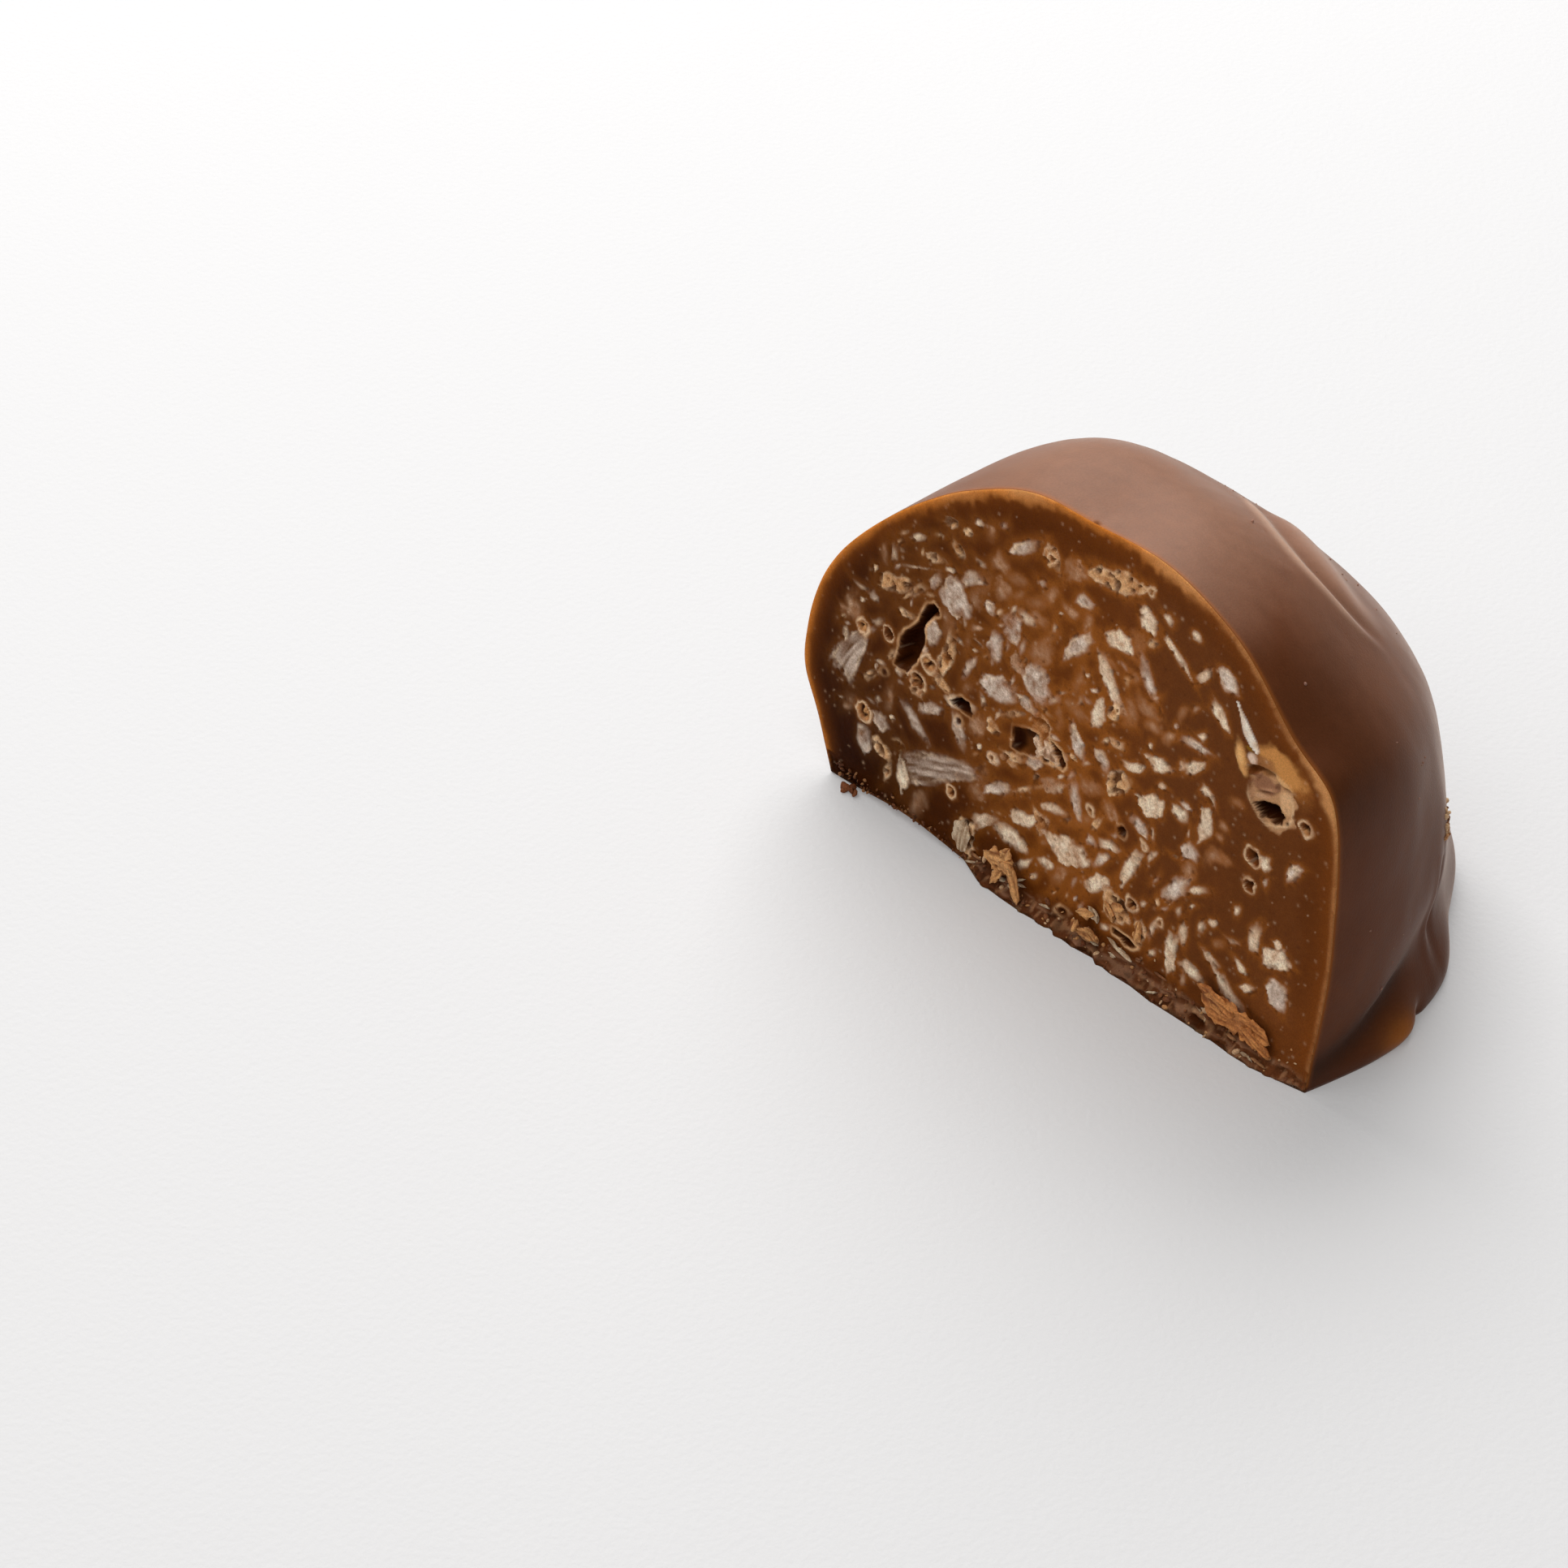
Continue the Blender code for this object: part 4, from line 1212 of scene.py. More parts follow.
        # The burr's painted glow.
        self.blend(EVERYWHERE, np.clip(glow * ledge, 0, 0.7), BURR_PAINTED_GLOW)
        self.rise += 0.05 * bump((edge - 0.10) / 0.09) * (0.6 + 0.7 * noise.at(x, z, 0.6))
        self.rise -= 0.05 * bump(edge / 0.05)

    def flake_shape(self, part: tuple, flake: Flake, seed: int) -> tuple[Array, ...]:
        """Return how far each point is out of a flake, from 0 at its middle to 1 at its edge.

        Args:
            part: The part of the grid to work on.
            flake: The coconut piece.
            seed: Sets the flake's own corners, so that no two look alike.

        Returns:
            The measure, and the places along and across the flake.
        """
        u, v = self.local(part, flake)
        rng = random.Random(seed)
        a, b = flake.length / 2, flake.width / 2
        v = v - rng.uniform(-0.35, 0.35) * b * (np.square(u / a) - 0.4)
        shift = seed * 3.7
        wobble = 0.16 * self.noise.at(u + shift, v, 0.5 * min(flake.length, 1.0))
        wobble += 0.12 * self.noise.at(u + shift, v + 5, 0.18)
        if flake.kind is Kind.SOFT:
            return np.hypot(u / a, v / b) + 2 * wobble, u, v
        if flake.kind is Kind.FIBRE:
            taper = 1.25 - 0.5 * np.clip(u / a, -1.2, 1.2)
            return (np.abs(u / a) ** 5 + np.abs(v / (b * taper)) ** 5) ** 0.2 + 0.8 * wobble, u, v
        sides = rng.choice((5, 6, 7))
        turn = rng.uniform(0, 2 * math.pi)
        measure = np.full_like(u, -9.0)
        for side in range(sides):
            angle = turn + 2 * math.pi * (side + rng.uniform(-0.3, 0.3)) / sides
            reach = rng.uniform(0.92, 1.18)
            measure = np.maximum(measure, (u / a * math.cos(angle) + v / b * math.sin(angle)) / reach)
        return measure + wobble, u, v

    def lay_flake(self, flake: Flake, seed: int) -> None:
        """Paint one coconut piece and raise it a little.

        Args:
            flake: The coconut piece.
            seed: Sets its own unevenness.
        """
        part = self.window(flake.x, flake.z, flake.length / 2 + 0.9)
        measure, u, v = self.flake_shape(part, flake, seed)
        out = (measure - 1) * flake.width / 2
        noise, shift = self.noise, seed * 2.3
        kind, look = flake.kind, LOOKS[flake.kind]
        towards_right = float(ramp(-1, 7, np.array(flake.x)))
        halo = bump(np.maximum(out, 0) / (self.halo_width - self.halo_narrowing * towards_right))
        # The halo takes the painted shade of the chocolate round it.
        self.blend(part, halo * (0.7 - 0.12 * towards_right), np.asarray(HALO) * self.shade[part][..., None])
        uneven = np.maximum(look.softness * (1.3 + 1.4 * noise.at(u - shift, v + shift, 0.9)), 0.06)
        film = ramp(0.1, 0.8, noise.at(u - 2 * shift, v, 0.8)) * (kind in (Kind.WHITE, Kind.GREY))
        mask = (1 - ramp(-uneven, 0.4 * uneven, out)) * (1 - 0.22 * film)
        grain = 0.5 + 0.5 * noise.at(u + shift, v, 0.19)
        grain = 0.5 * grain + 0.5 * (0.5 + 0.5 * noise.at(u - shift, v + shift, 0.45))
        if kind is Kind.FIBRE:
            grain = 0.5 + 0.5 * noise.at(u * 0.12 + shift, v + 0.1 * u, 0.14)
            grain = 0.75 * grain + 0.25 * (0.5 + 0.5 * noise.at(u * 0.4, v + shift, 0.3))
        # A painted highlight along the edge of each crisp flake.
        painted_edge_highlight = bump((out + 0.07) / 0.06) * (0.5 + 0.5 * noise.at(u, v - shift, 0.5))
        dull_end = 0.25 * (kind is Kind.FIBRE) * ramp(0.1, -0.9, 2 * u / flake.length)
        dull_middle = 0.12 * ramp(-0.1, -0.35, out)
        # Flakes are lighter towards the right: painted light.
        share = look.light + 0.10 * towards_right + self.grain_contrast * (grain - 0.5) - dull_middle - dull_end
        crisp = kind is not Kind.SOFT
        edge_highlight_share = np.clip(0.9 * painted_edge_highlight * crisp, 0, 0.85)
        colour = mixed(mixed(look.shade, look.flesh, share), EDGE_HIGHLIGHT, edge_highlight_share)
        self.blend(part, mask * look.strength, colour)
        pores = ramp(0.35, 0.6, noise.at(u + 3 * shift, v - shift, 0.2)) * bump(out / 0.16) * crisp
        self.blend(part, pores * 0.6, PORE)
        self.rise[part] += mask * (look.rise + 0.03 * (grain - 0.5)) - 0.06 * pores
        self.rough[part] += mask * 0.05
        self.pale[part] = np.maximum(self.pale[part], mask * look.strength)
        if kind is Kind.TAN:
            holes = ramp(0.10, 0.35, noise.at(u + shift, v - shift, 0.26)) * mask
            self.rise[part] -= 0.18 * holes
            self.blend(part, holes * 0.85, TAN_PORE)

    def lay_ring(self, ring: Ring, seed: int) -> None:
        """Sink one small round bubble, with a pale rim, foam inside and a hole in the foam darkened with
        painted shade.

        Args:
            ring: The bubble.
            seed: Sets its own unevenness.
        """
        part = self.window(ring.x, ring.z, ring.size + 0.5)
        x, z, noise = self.x[part] - ring.x, self.z[part] - ring.z, self.noise
        away = np.hypot(x, z) + 0.10 * noise.at(x * 2 + seed, z * 2, 0.5)
        radius = ring.size / 2
        inside = 1 - ramp(radius - 0.10, radius, away)
        look = HOLLOW if ring.hollow else FOAMY
        rim = bump((away - radius - 0.02) / look.rim_width)
        rim *= 0.75 + 0.5 * noise.at(x - seed, z, 0.3)
        self.blend(part, bump(np.maximum(away - radius, 0) / 0.2) * 0.5, HALO)
        self.blend(part, np.clip(rim * 1.1, 0, 1) * 0.95, RING_RIM)
        foam = np.clip(0.55 + 0.8 * noise.at(x + seed, z, 0.17), 0, 1)
        star = away / radius + 0.7 * noise.at(x * 1.5 - seed, z * 1.5, 0.22)
        foam *= ramp(*look.hole_edge, star)
        # The hole in the foam is painted shade.
        self.blend(part, inside, mixed(PAINTED_HOLE_SHADE, look.foam, foam))
        # A warm painted shade on the bubble's inner wall.
        self.blend(part, bump((away - radius + 0.12) / 0.06) * 0.5, RING_WALL_PAINTED_SHADE)
        sunk = 1 - ramp(radius - 0.2, radius - 0.07, away)
        self.rise[part] += 0.05 * rim - look.depth * sunk * (1 - 0.6 * foam)

    def lay_pit(self, pit: Pit, seed: int) -> None:
        """Tear out one bubble, dark inside with painted shade and a little painted light on its floor, with
        a thin pale rim.

        Args:
            pit: The bubble.
            seed: Sets its own unevenness.
        """
        part = self.window(pit.x, pit.z, pit.length / 2 + 0.9)
        u, v = self.local(part, pit)
        a, b = pit.length / 2, pit.width / 2
        wobble = 0.22 * self.noise.at(u + seed * 1.7, v, 0.5) + 0.12 * self.noise.at(u, v + seed, 0.2)
        measure = np.sqrt((u / a) ** 2 + (v / b) ** 2) + wobble
        out = (measure - 1) * b
        inside = 1 - ramp(-0.10, 0.03, out)
        rim = bump((out - 0.06) / 0.07) * (0.55 + 0.6 * self.noise.at(u - seed, v, 0.35))
        self.blend(part, np.clip(rim * pit.rim * 1.9, 0, 1), PIT_RIM)
        # Painted shade in the pit, with a little painted light towards its middle.
        lit = ramp(0.1, 0.9, 0.5 - out / b + 0.6 * self.noise.at(u, v + seed, 0.4))
        self.blend(part, inside, mixed(PAINTED_HOLE_SHADE, PIT_FLOOR, 0.35 * lit))
        sunk = 1 - ramp(-0.24, -0.05, out)
        self.rise[part] += 0.04 * rim - pit.depth * sunk
        self.rough[part] -= 0.08 * inside

    def lay_tear(self, tear: Tear, seed: int) -> None:
        """Tear out one hole with a drawn outline, dark inside with painted shade, and with painted light on
        part of its floor.

        Args:
            tear: The hole.
            seed: Sets its own unevenness.
        """
        corners = np.array(tear.corners)
        middle, reach = corners.mean(0), np.ptp(corners, axis=0).max() / 2 + 0.9
        part = self.window(middle[0], middle[1], reach)
        x, z, noise = self.x[part], self.z[part], self.noise
        out = beyond(x, z, tear.corners) + 0.05 * noise.at(x + seed, z, 0.35) - 0.03
        rim = bump((out - 0.05) / 0.065) * (0.6 + 0.6 * noise.at(x - seed, z, 0.6))
        self.blend(part, bump(np.maximum(out, 0) / 0.2) * 0.35 * tear.rim, HALO)
        self.blend(part, np.clip(rim * tear.rim * 2.0, 0, 1), TEAR_RIM)
        # Painted shade in the hole, with painted light towards the lower right of its floor.
        slope = 0.5 * (x - middle[0]) - 0.25 * (z - middle[1])
        lit = ramp(-0.6, 0.8, slope + 0.6 * noise.at(x, z + seed, 0.5))
        inside = 1 - ramp(-0.08, 0.02, out)
        self.blend(part, inside, mixed(PAINTED_HOLE_SHADE, tear.floor, lit))
        self.rise[part] += 0.04 * rim * (tear.rim > 0) - tear.depth * (1 - ramp(-0.26, -0.05, out))
        self.rough[part] -= 0.06 * inside

    def lay_dab(self, dab: Dab, seed: int) -> None:
        """Paint one soft-edged patch and raise it or sink it.

        Args:
            dab: The patch.
            seed: Sets its own unevenness.
        """
        part = self.window(dab.x, dab.z, max(dab.length, dab.width) / 2 + 0.6)
        u, v = self.local(part, dab)
        measure = np.hypot(2 * u / dab.length, 2 * v / dab.width)
        measure += 0.20 * self.noise.at(u + seed, v, 0.5) + 0.12 * self.noise.at(u, v + seed, 0.2)
        out = (measure - 1) * min(dab.length, dab.width) / 2
        mask = 1 - ramp(-dab.softness, 0.6 * dab.softness, out)
        self.blend(part, mask * dab.strength, dab.colour)
        self.rise[part] += dab.rise * mask

    def lay_big_bubble(self) -> None:
        """Shape the large burst bubble near the right shoulder, with the flake that points into it."""
        for number, dab in enumerate(BUBBLE_DABS):
            self.lay_dab(dab, number)
        bubble = BigBubble()
        part = self.window(12.0, 14.8, 3.6)
        x, z, noise = self.x[part], self.z[part], self.noise
        bowl = np.hypot((x - bubble.x) / bubble.half_width, (z - bubble.z) / bubble.half_height)
        bowl = bowl + 0.05 * noise.at(x, z, 0.8) + 0.03 * noise.at(x, z, 0.25)
        turned = np.maximum(ramp(14.0, 13.2, z), ramp(12.6, 13.1, x) * ramp(14.7, 14.1, z))
        brim = bump((bowl - 1.0) / bubble.rim_width) * turned * (0.55 + 0.45 * ramp(11.4, 12.9, x))
        self.blend(part, brim * 0.92, BOWL_RIM)
        self.rise[part] += 0.05 * brim
        below = bubble.spike_z - z
        down = below / bubble.spike_length
        middle = bubble.spike_x + bubble.spike_lean * below + 0.05 * noise.at(x * 0, z, 0.6)
        half_width = np.interp(down, bubble.spike_places, bubble.spike_half_widths)
        half_width *= (down > 0) & (down < bubble.spike_places[-1])
        spike = ramp(1.15, 0.75, np.abs(x - middle) / np.maximum(half_width, 0.01)) * (half_width > 0)
        flesh = mixed(SPIKE_SHADE, SPIKE_FLESH, 0.6 + 0.6 * noise.at(x, z, 0.3))
        self.blend(part, spike * 0.95, flesh)
        self.rise[part] += 0.04 * spike

    def lay_loose_flake(self) -> None:
        """Lay the ragged flake that hangs in the torn hollow in the middle."""
        part = self.window(-1.6, 8.9, 1.8)
        x, z, noise = self.x[part], self.z[part], self.noise
        out = beyond(x, z, LOOSE_FLAKE) + 0.06 * noise.at(x, z, 0.25)
        flake = 1 - ramp(-0.07, 0.04, out)
        grain = 0.5 + 0.7 * noise.at(x * 1.3, z, 0.25) + 0.4 * bump((out + 0.05) / 0.07)
        self.blend(part, flake * 0.97, mixed(LOOSE_SHADE, LOOSE_FLESH, grain))
        self.rise[part] = np.where(flake > 0.5, np.maximum(self.rise[part], 0.0), self.rise[part])
        self.rise[part] += 0.09 * flake
        self.pale[part] = np.maximum(self.pale[part], flake)

    def lay_specks(self) -> None:
        """Scatter pin-point crumbs of coconut and air over the face."""
        rng = np.random.default_rng(self.seed)
        for _ in range(self.specks):
            x, z = rng.uniform(-17.5, 15.8), rng.uniform(0.3, 21.6)
            size = rng.uniform(*self.speck_size)
            part = self.window(x, z, 0.3)
            if self.x[part].size == 0:
                continue
            away = np.hypot(self.x[part] - x, self.z[part] - z)
            mask = bump(away / size) * rng.uniform(0.15, 0.7)
            colour = PALE_SPECK if rng.random() < self.pale_specks else DARK_SPECK
            self.blend(part, mask, colour)
            self.rise[part] += 0.02 * mask

    def more_flakes(self) -> list[Flake]:
        """Return the smaller coconut pieces that lie between the listed ones.

        Returns:
            The coconut pieces.
        """
        rng = random.Random(self.seed)
        taken = [(flake.x, flake.z, flake.length / 2) for flake in FLAKES]
        taken += [(pit.x, pit.z, pit.length / 2) for pit in PITS]
        taken += [(ring.x, ring.z, ring.size / 2) for ring in RINGS]
        taken += KEPT_CLEAR
        flakes = []
        for attempt in range(self.tries):
            x, z = rng.uniform(-15.5, 14.6), rng.uniform(1.5, 19.3)
            length = rng.uniform(*(self.larger_length if attempt < self.tries / 2 else self.smaller_length))
            middle_out = math.hypot((x + 1.2) / 14.6, (z - 5.5) / (14.0 if z > 5.5 else 5.0))
            kept = 0.12 if x > self.sparse_from_x or z > 17 else 0.35 if x > 3.0 else 0.8
            if middle_out > 1 or rng.random() > kept:
                continue
            if any(math.hypot(x - a, z - b) < 0.72 * (c + length / 2) + 0.05 for a, b, c in taken):
                continue
            kinds = (Kind.SOFT, Kind.SOFT, Kind.GREY, Kind.WHITE, Kind.TAN if x < 7 else Kind.WHITE)
            flakes.append(Flake(x, z, length, length * rng.uniform(0.28, 0.6), rng.gauss(45, 35),
                                rng.choice(kinds if length > 0.5 else kinds[2:])))
            taken.append((x, z, length / 2))
        return [flake for flake in flakes
                if flake.x < self.sparse_from_x or flake.length < self.longest_where_sparse]

    def build(self, paint: Paint) -> bpy.types.Object:
        """Build the filling's piece and return it.

        Args:
            paint: Its finish.

        Returns:
            The piece.
        """
        inside, nearest = self.lay_grid(self.outline())
        self.lay_chocolate()
        flakes = list(FLAKES) + self.more_flakes()
        ordered = sorted(enumerate(flakes), key=lambda item: item[1].kind is not Kind.SOFT)
        for number, flake in ordered:
            self.lay_flake(flake, number)
        self.lay_big_bubble()
        for number, pit in enumerate(PITS):
            self.lay_pit(pit, number)
        for number, tear in enumerate(TEARS):
            self.lay_tear(tear, number)
        self.lay_loose_flake()
        for number, bubble in enumerate(RINGS):
            self.lay_ring(bubble, number)
        self.lay_specks()
        self.lay_edge()
        return self.close(inside, nearest, paint)

    def close(self, inside: Array, nearest: Array, paint: Paint) -> bpy.types.Object:
        """Close the relief with the half dome behind it.

        Args:
            inside: Whether each grid point is inside the outline.
            nearest: Each point's nearest place on the outline.
            paint: The finish.

        Returns:
            The piece, with its colours stored on its points.
        """
        cells = inside[:-1, :-1] & inside[1:, :-1] & inside[1:, 1:] & inside[:-1, 1:]
        around = np.zeros(inside.shape, int)
        for rows in (slice(0, -1), slice(1, None)):
            for columns in (slice(0, -1), slice(1, None)):
                around[rows, columns] += cells
        used = around > 0
        border = used & (around < 4)
        x = np.where(border, nearest[..., 0], self.x)
        z = np.where(border, nearest[..., 1], self.z)
        rise = np.where(border, 0.0, self.rise + self.proud)
        y = -rise - DOME.lip(x, z)
        numbers = np.full(inside.shape, -1)
        numbers[used] = np.arange(used.sum())
        faces = np.stack([numbers[:-1, :-1][cells], numbers[:-1, 1:][cells],
                          numbers[1:, 1:][cells], numbers[1:, :-1][cells]], 1)
        points = np.stack([x[used], y[used], z[used]], 1)
        loop = self.border_loop(faces)
        back, back_faces, back_rim = self.back_half(len(points))
        bridge = self.bridge(np.concatenate([points, back]), loop, back_rim)
        everything = np.concatenate([points, back])
        made = new_piece("cut_filling", everything, faces.tolist() + back_faces + bridge, paint)
        hidden = len(back)
        store(made, "tint", np.concatenate([self.colour[used], np.tile(MATRIX, (hidden, 1))]))
        store(made, "sheen", np.concatenate([self.rough[used], np.full(hidden, 0.5)]))
        store(made, "pale", np.concatenate([self.pale[used], np.zeros(hidden)]))
        return made

    def border_loop(self, faces: Array) -> list[int]:
        """Return the relief's border as a ring of point numbers.

        Args:
            faces: The relief's faces.

        Returns:
            The ring.
        """
        starts = faces.ravel()
        ends = np.roll(faces, -1, axis=1).ravel()
        pairs = set(zip(starts.tolist(), ends.tolist()))
        following = {a: b for a, b in pairs if (b, a) not in pairs}
        first = next(iter(following))
        loop = [first]
        while following[loop[-1]] != first:
            loop.append(following[loop[-1]])
        return loop

    def back_half(self, start: int) -> tuple[Array, list, list[int]]:
        """Return the half dome behind the relief: its points, its faces and its open rim.

        Args:
            start: The first point's number.

        Returns:
            The points, the faces and the rim's point numbers.
        """
        around, up = self.back_steps
        grid = DOME.wall(np.linspace(0, 180, around + 1), up, self.back_inset)
        grid[..., 1] = self.back_offset + grid[..., 1] * self.back_depth
        rows, columns = grid.shape[:2]
        keep = np.arange(rows * columns).reshape(rows, columns)
        keep[:, 0], keep[:, -1] = keep[0, 0], keep[0, -1]
        order, renumbered = np.unique(keep, return_inverse=True)
        renumbered = renumbered.reshape(rows, columns) + start
        corners = np.stack([renumbered[:-1, :-1], renumbered[:-1, 1:],
                            renumbered[1:, 1:], renumbered[1:, :-1]], -1)
        faces = [list(dict.fromkeys(face)) for face in corners.reshape(-1, 4).tolist()]
        rim = renumbered[0].tolist() + renumbered[-1, -2:0:-1].tolist()
        return grid.reshape(-1, 3)[order], faces, rim

    def bridge(self, points: Array, first: list[int], second: list[int]) -> list:
        """Join two rings of points round the same middle with triangles.

        Args:
            points: All the points.
            first: The outer ring's point numbers.
            second: The inner ring's point numbers.

        Returns:
            The triangles.
        """
        outer, outer_share = self.unrolled(points, first)
        inner, inner_share = self.unrolled(points, second)
        faces, i, j = [], 0, 0
        while i < len(outer) - 1 or j < len(inner) - 1:
            step_outer = outer_share[i + 1] if i < len(outer) - 1 else 9.0
            step_inner = inner_share[j + 1] if j < len(inner) - 1 else 9.0
            if step_outer <= step_inner:
                faces.append([outer[i], outer[i + 1], inner[j]])
                i += 1
            else:
                faces.append([outer[i], inner[j + 1], inner[j]])
                j += 1
        return faces

    def unrolled(self, points: Array, ring: list[int]) -> tuple[list[int], Array]:
        """Return a ring anticlockwise from its lowest middle point, ending where it began.

        Args:
            points: All the points.
            ring: The ring's point numbers, in order.

        Returns:
            The point numbers, and how far along the ring each lies, from 0 to 1.
        """
        x, z = points[ring, 0], points[ring, 2]
        if np.sum(x * np.roll(z, -1) - np.roll(x, -1) * z) < 0:
            ring = ring[::-1]
            x, z = x[::-1], z[::-1]
        first = int(np.argmin(np.abs(x) + 50 * (z > 3)))
        ring = ring[first:] + ring[:first + 1]
        steps = np.linalg.norm(np.diff(points[ring][:, [0, 2]], axis=0), axis=1)
        share = np.concatenate([[0], np.cumsum(steps)])
        return ring, share / share[-1]


@dataclass(frozen=True)
class Chip(Spot):
    """A thin ragged shaving that lies on the cut."""

    lift: float
    light: Colour
    dark: Colour
    curl: float = 0.2
    thickness: float = 0.14
    ragged: float = 0.35

    def surface(self, seed: int) -> tuple[Array, list, Array]:
        """Return the chip's points, its faces and its points' colours.

        Args:
            seed: Sets its ragged outline and its streaks.

        Returns:
            The points, the faces and the colours.
        """
        noise = Noise(seed)
        along, across = (64, 22) if self.width > 0.4 else (24, 8)
        s, t = np.meshgrid(np.linspace(-1, 1, along), np.linspace(-1, 1, across), indexing="ij")
        half = self.width / 2 * np.clip(1 - np.abs(s) ** 4, 0.05, 1)
        half = half * (1 + self.ragged * noise.layered(s * self.length, np.sign(t) * 3, 0.6))
        u = s * self.length / 2 + 0.25 * self.ragged * noise.at(t * 2, s * 0 + 4, 0.4) * np.abs(s) ** 3
        v = t * half
        fibre = noise.at(u * 0.5, v * 3.0, 0.30)
        middle = self.lift + self.curl * np.square(v) + 0.10 * noise.at(u, v, 0.8) + 0.05 * fibre
        to_rim = np.maximum(np.abs(s), np.abs(t))
        thin = self.thickness / 2 * np.sqrt(np.clip(1 - to_rim ** 6, 0, 1)) + 0.004
        angle = math.radians(self.tilt)
        x = self.x + u * math.cos(angle) - v * math.sin(angle)
        z = self.z + u * math.sin(angle) + v * math.cos(angle)
        y = np.zeros_like(x)
        front = np.stack([x, y - middle - thin, z], -1)
        back = np.stack([x, y - middle + thin, z], -1)
        points = np.concatenate([front.reshape(-1, 3), back.reshape(-1, 3)])
        faces = grid_faces(along, across) + grid_faces(along, across, along * across, flip=True)
        numbers = np.arange(along * across).reshape(along, across)
        rim = (numbers[:-1, 0].tolist() + numbers[-1, :-1].tolist() + numbers[:0:-1, -1].tolist()
               + numbers[0, :0:-1].tolist())
        for a, b in zip(rim, rim[1:] + rim[:1]):
            faces.append([a, b, b + along * across, a + along * across])
        share = 0.5 + 0.55 * fibre + 0.2 * noise.at(u, v, 0.15)
        colours = mixed(self.dark, self.light, share).reshape(-1, 3)
        return points, faces, np.concatenate([colours, colours])


@dataclass(frozen=True)
class Crumb:
    """A small lump, at a place in the drawing frame."""

    place: tuple[float, float, float]
    size: float
    colour: Colour
    stretch: float = 1.0

    def surface(self, seed: int, steps: tuple[int, int] = (12, 8)) -> tuple[Array, list, Array]:
        """Return the crumb's points, its faces and its points' colours.

        Args:
            seed: Sets its knocks.
            steps: Points round it, and steps from its top to its bottom.

        Returns:
            The points, the faces and the colours.
        """
        rng = np.random.default_rng(seed)
        around, down = steps
        theta = np.linspace(0, 2 * math.pi, around, endpoint=False)
        phi = np.linspace(0, math.pi, down + 1)[1:-1]
        t, p = np.meshgrid(theta, phi)
        ball = np.stack([np.sin(p) * np.cos(t), np.sin(p) * np.sin(t), np.cos(p)], -1).reshape(-1, 3)
        ball = np.concatenate([ball, [[0, 0, 1]], [[0, 0, -1]]])
        knocks = rng.normal(size=(7, 3))
        knocks /= np.linalg.norm(knocks, axis=1)[:, None]
        reach = 1 + np.sum(0.22 * np.square(np.clip(ball @ knocks.T, 0, 1)) * rng.uniform(-1, 1, 7), 1)
        reach *= rng.uniform(0.9, 1.1, len(ball))
        axes = self.size / 2 * np.array([self.stretch, rng.uniform(0.6, 1.0), rng.uniform(0.6, 1.0)])
        spin, _ = np.linalg.qr(rng.normal(size=(3, 3)))
        points = (ball * reach[:, None] * axes) @ spin + np.array(self.place)
        points[:, 2] = np.maximum(points[:, 2], 0.02)
        rows = down - 1
        faces = []
        for i in range(rows - 1):
            for j in range(around):
                k = (j + 1) % around
                faces.append([i * around + j, (i + 1) * around + j, (i + 1) * around + k, i * around + k])
        top, bottom = rows * around, rows * around + 1
        for j in range(around):
            k = (j + 1) % around
            faces.append([top, j, k])
            faces.append([bottom, (rows - 1) * around + k, (rows - 1) * around + j])
        shades = np.asarray(self.colour) * rng.uniform(0.8, 1.2, (len(points), 1))
        return points, faces, shades


ORANGE = (tone(222, 148, 84), tone(136, 76, 34))
TAN_CHIP = (tone(232, 172, 110), tone(140, 84, 42))
PALE_CHIP = (tone(222, 200, 170), tone(150, 112, 76))
SCRAPS = ((tone(176, 126, 84), tone(104, 62, 34)), (tone(140, 94, 62), tone(92, 54, 32)), PALE_CHIP)

BASE_CRUMBS = (tone(136, 86, 52), tone(196, 142, 92), tone(110, 62, 34), tone(120, 74, 46),
               tone(206, 168, 130))
DULL_CRUMBS = (tone(112, 68, 38), tone(150, 104, 66), tone(84, 46, 24))
HEAP_CRUMBS = (tone(104, 56, 28), tone(122, 70, 38))
STUCK_CRUMBS = (tone(190, 140, 96), tone(216, 180, 140), tone(150, 104, 70))
DUSTY_CRUMB = tone(150, 112, 96)

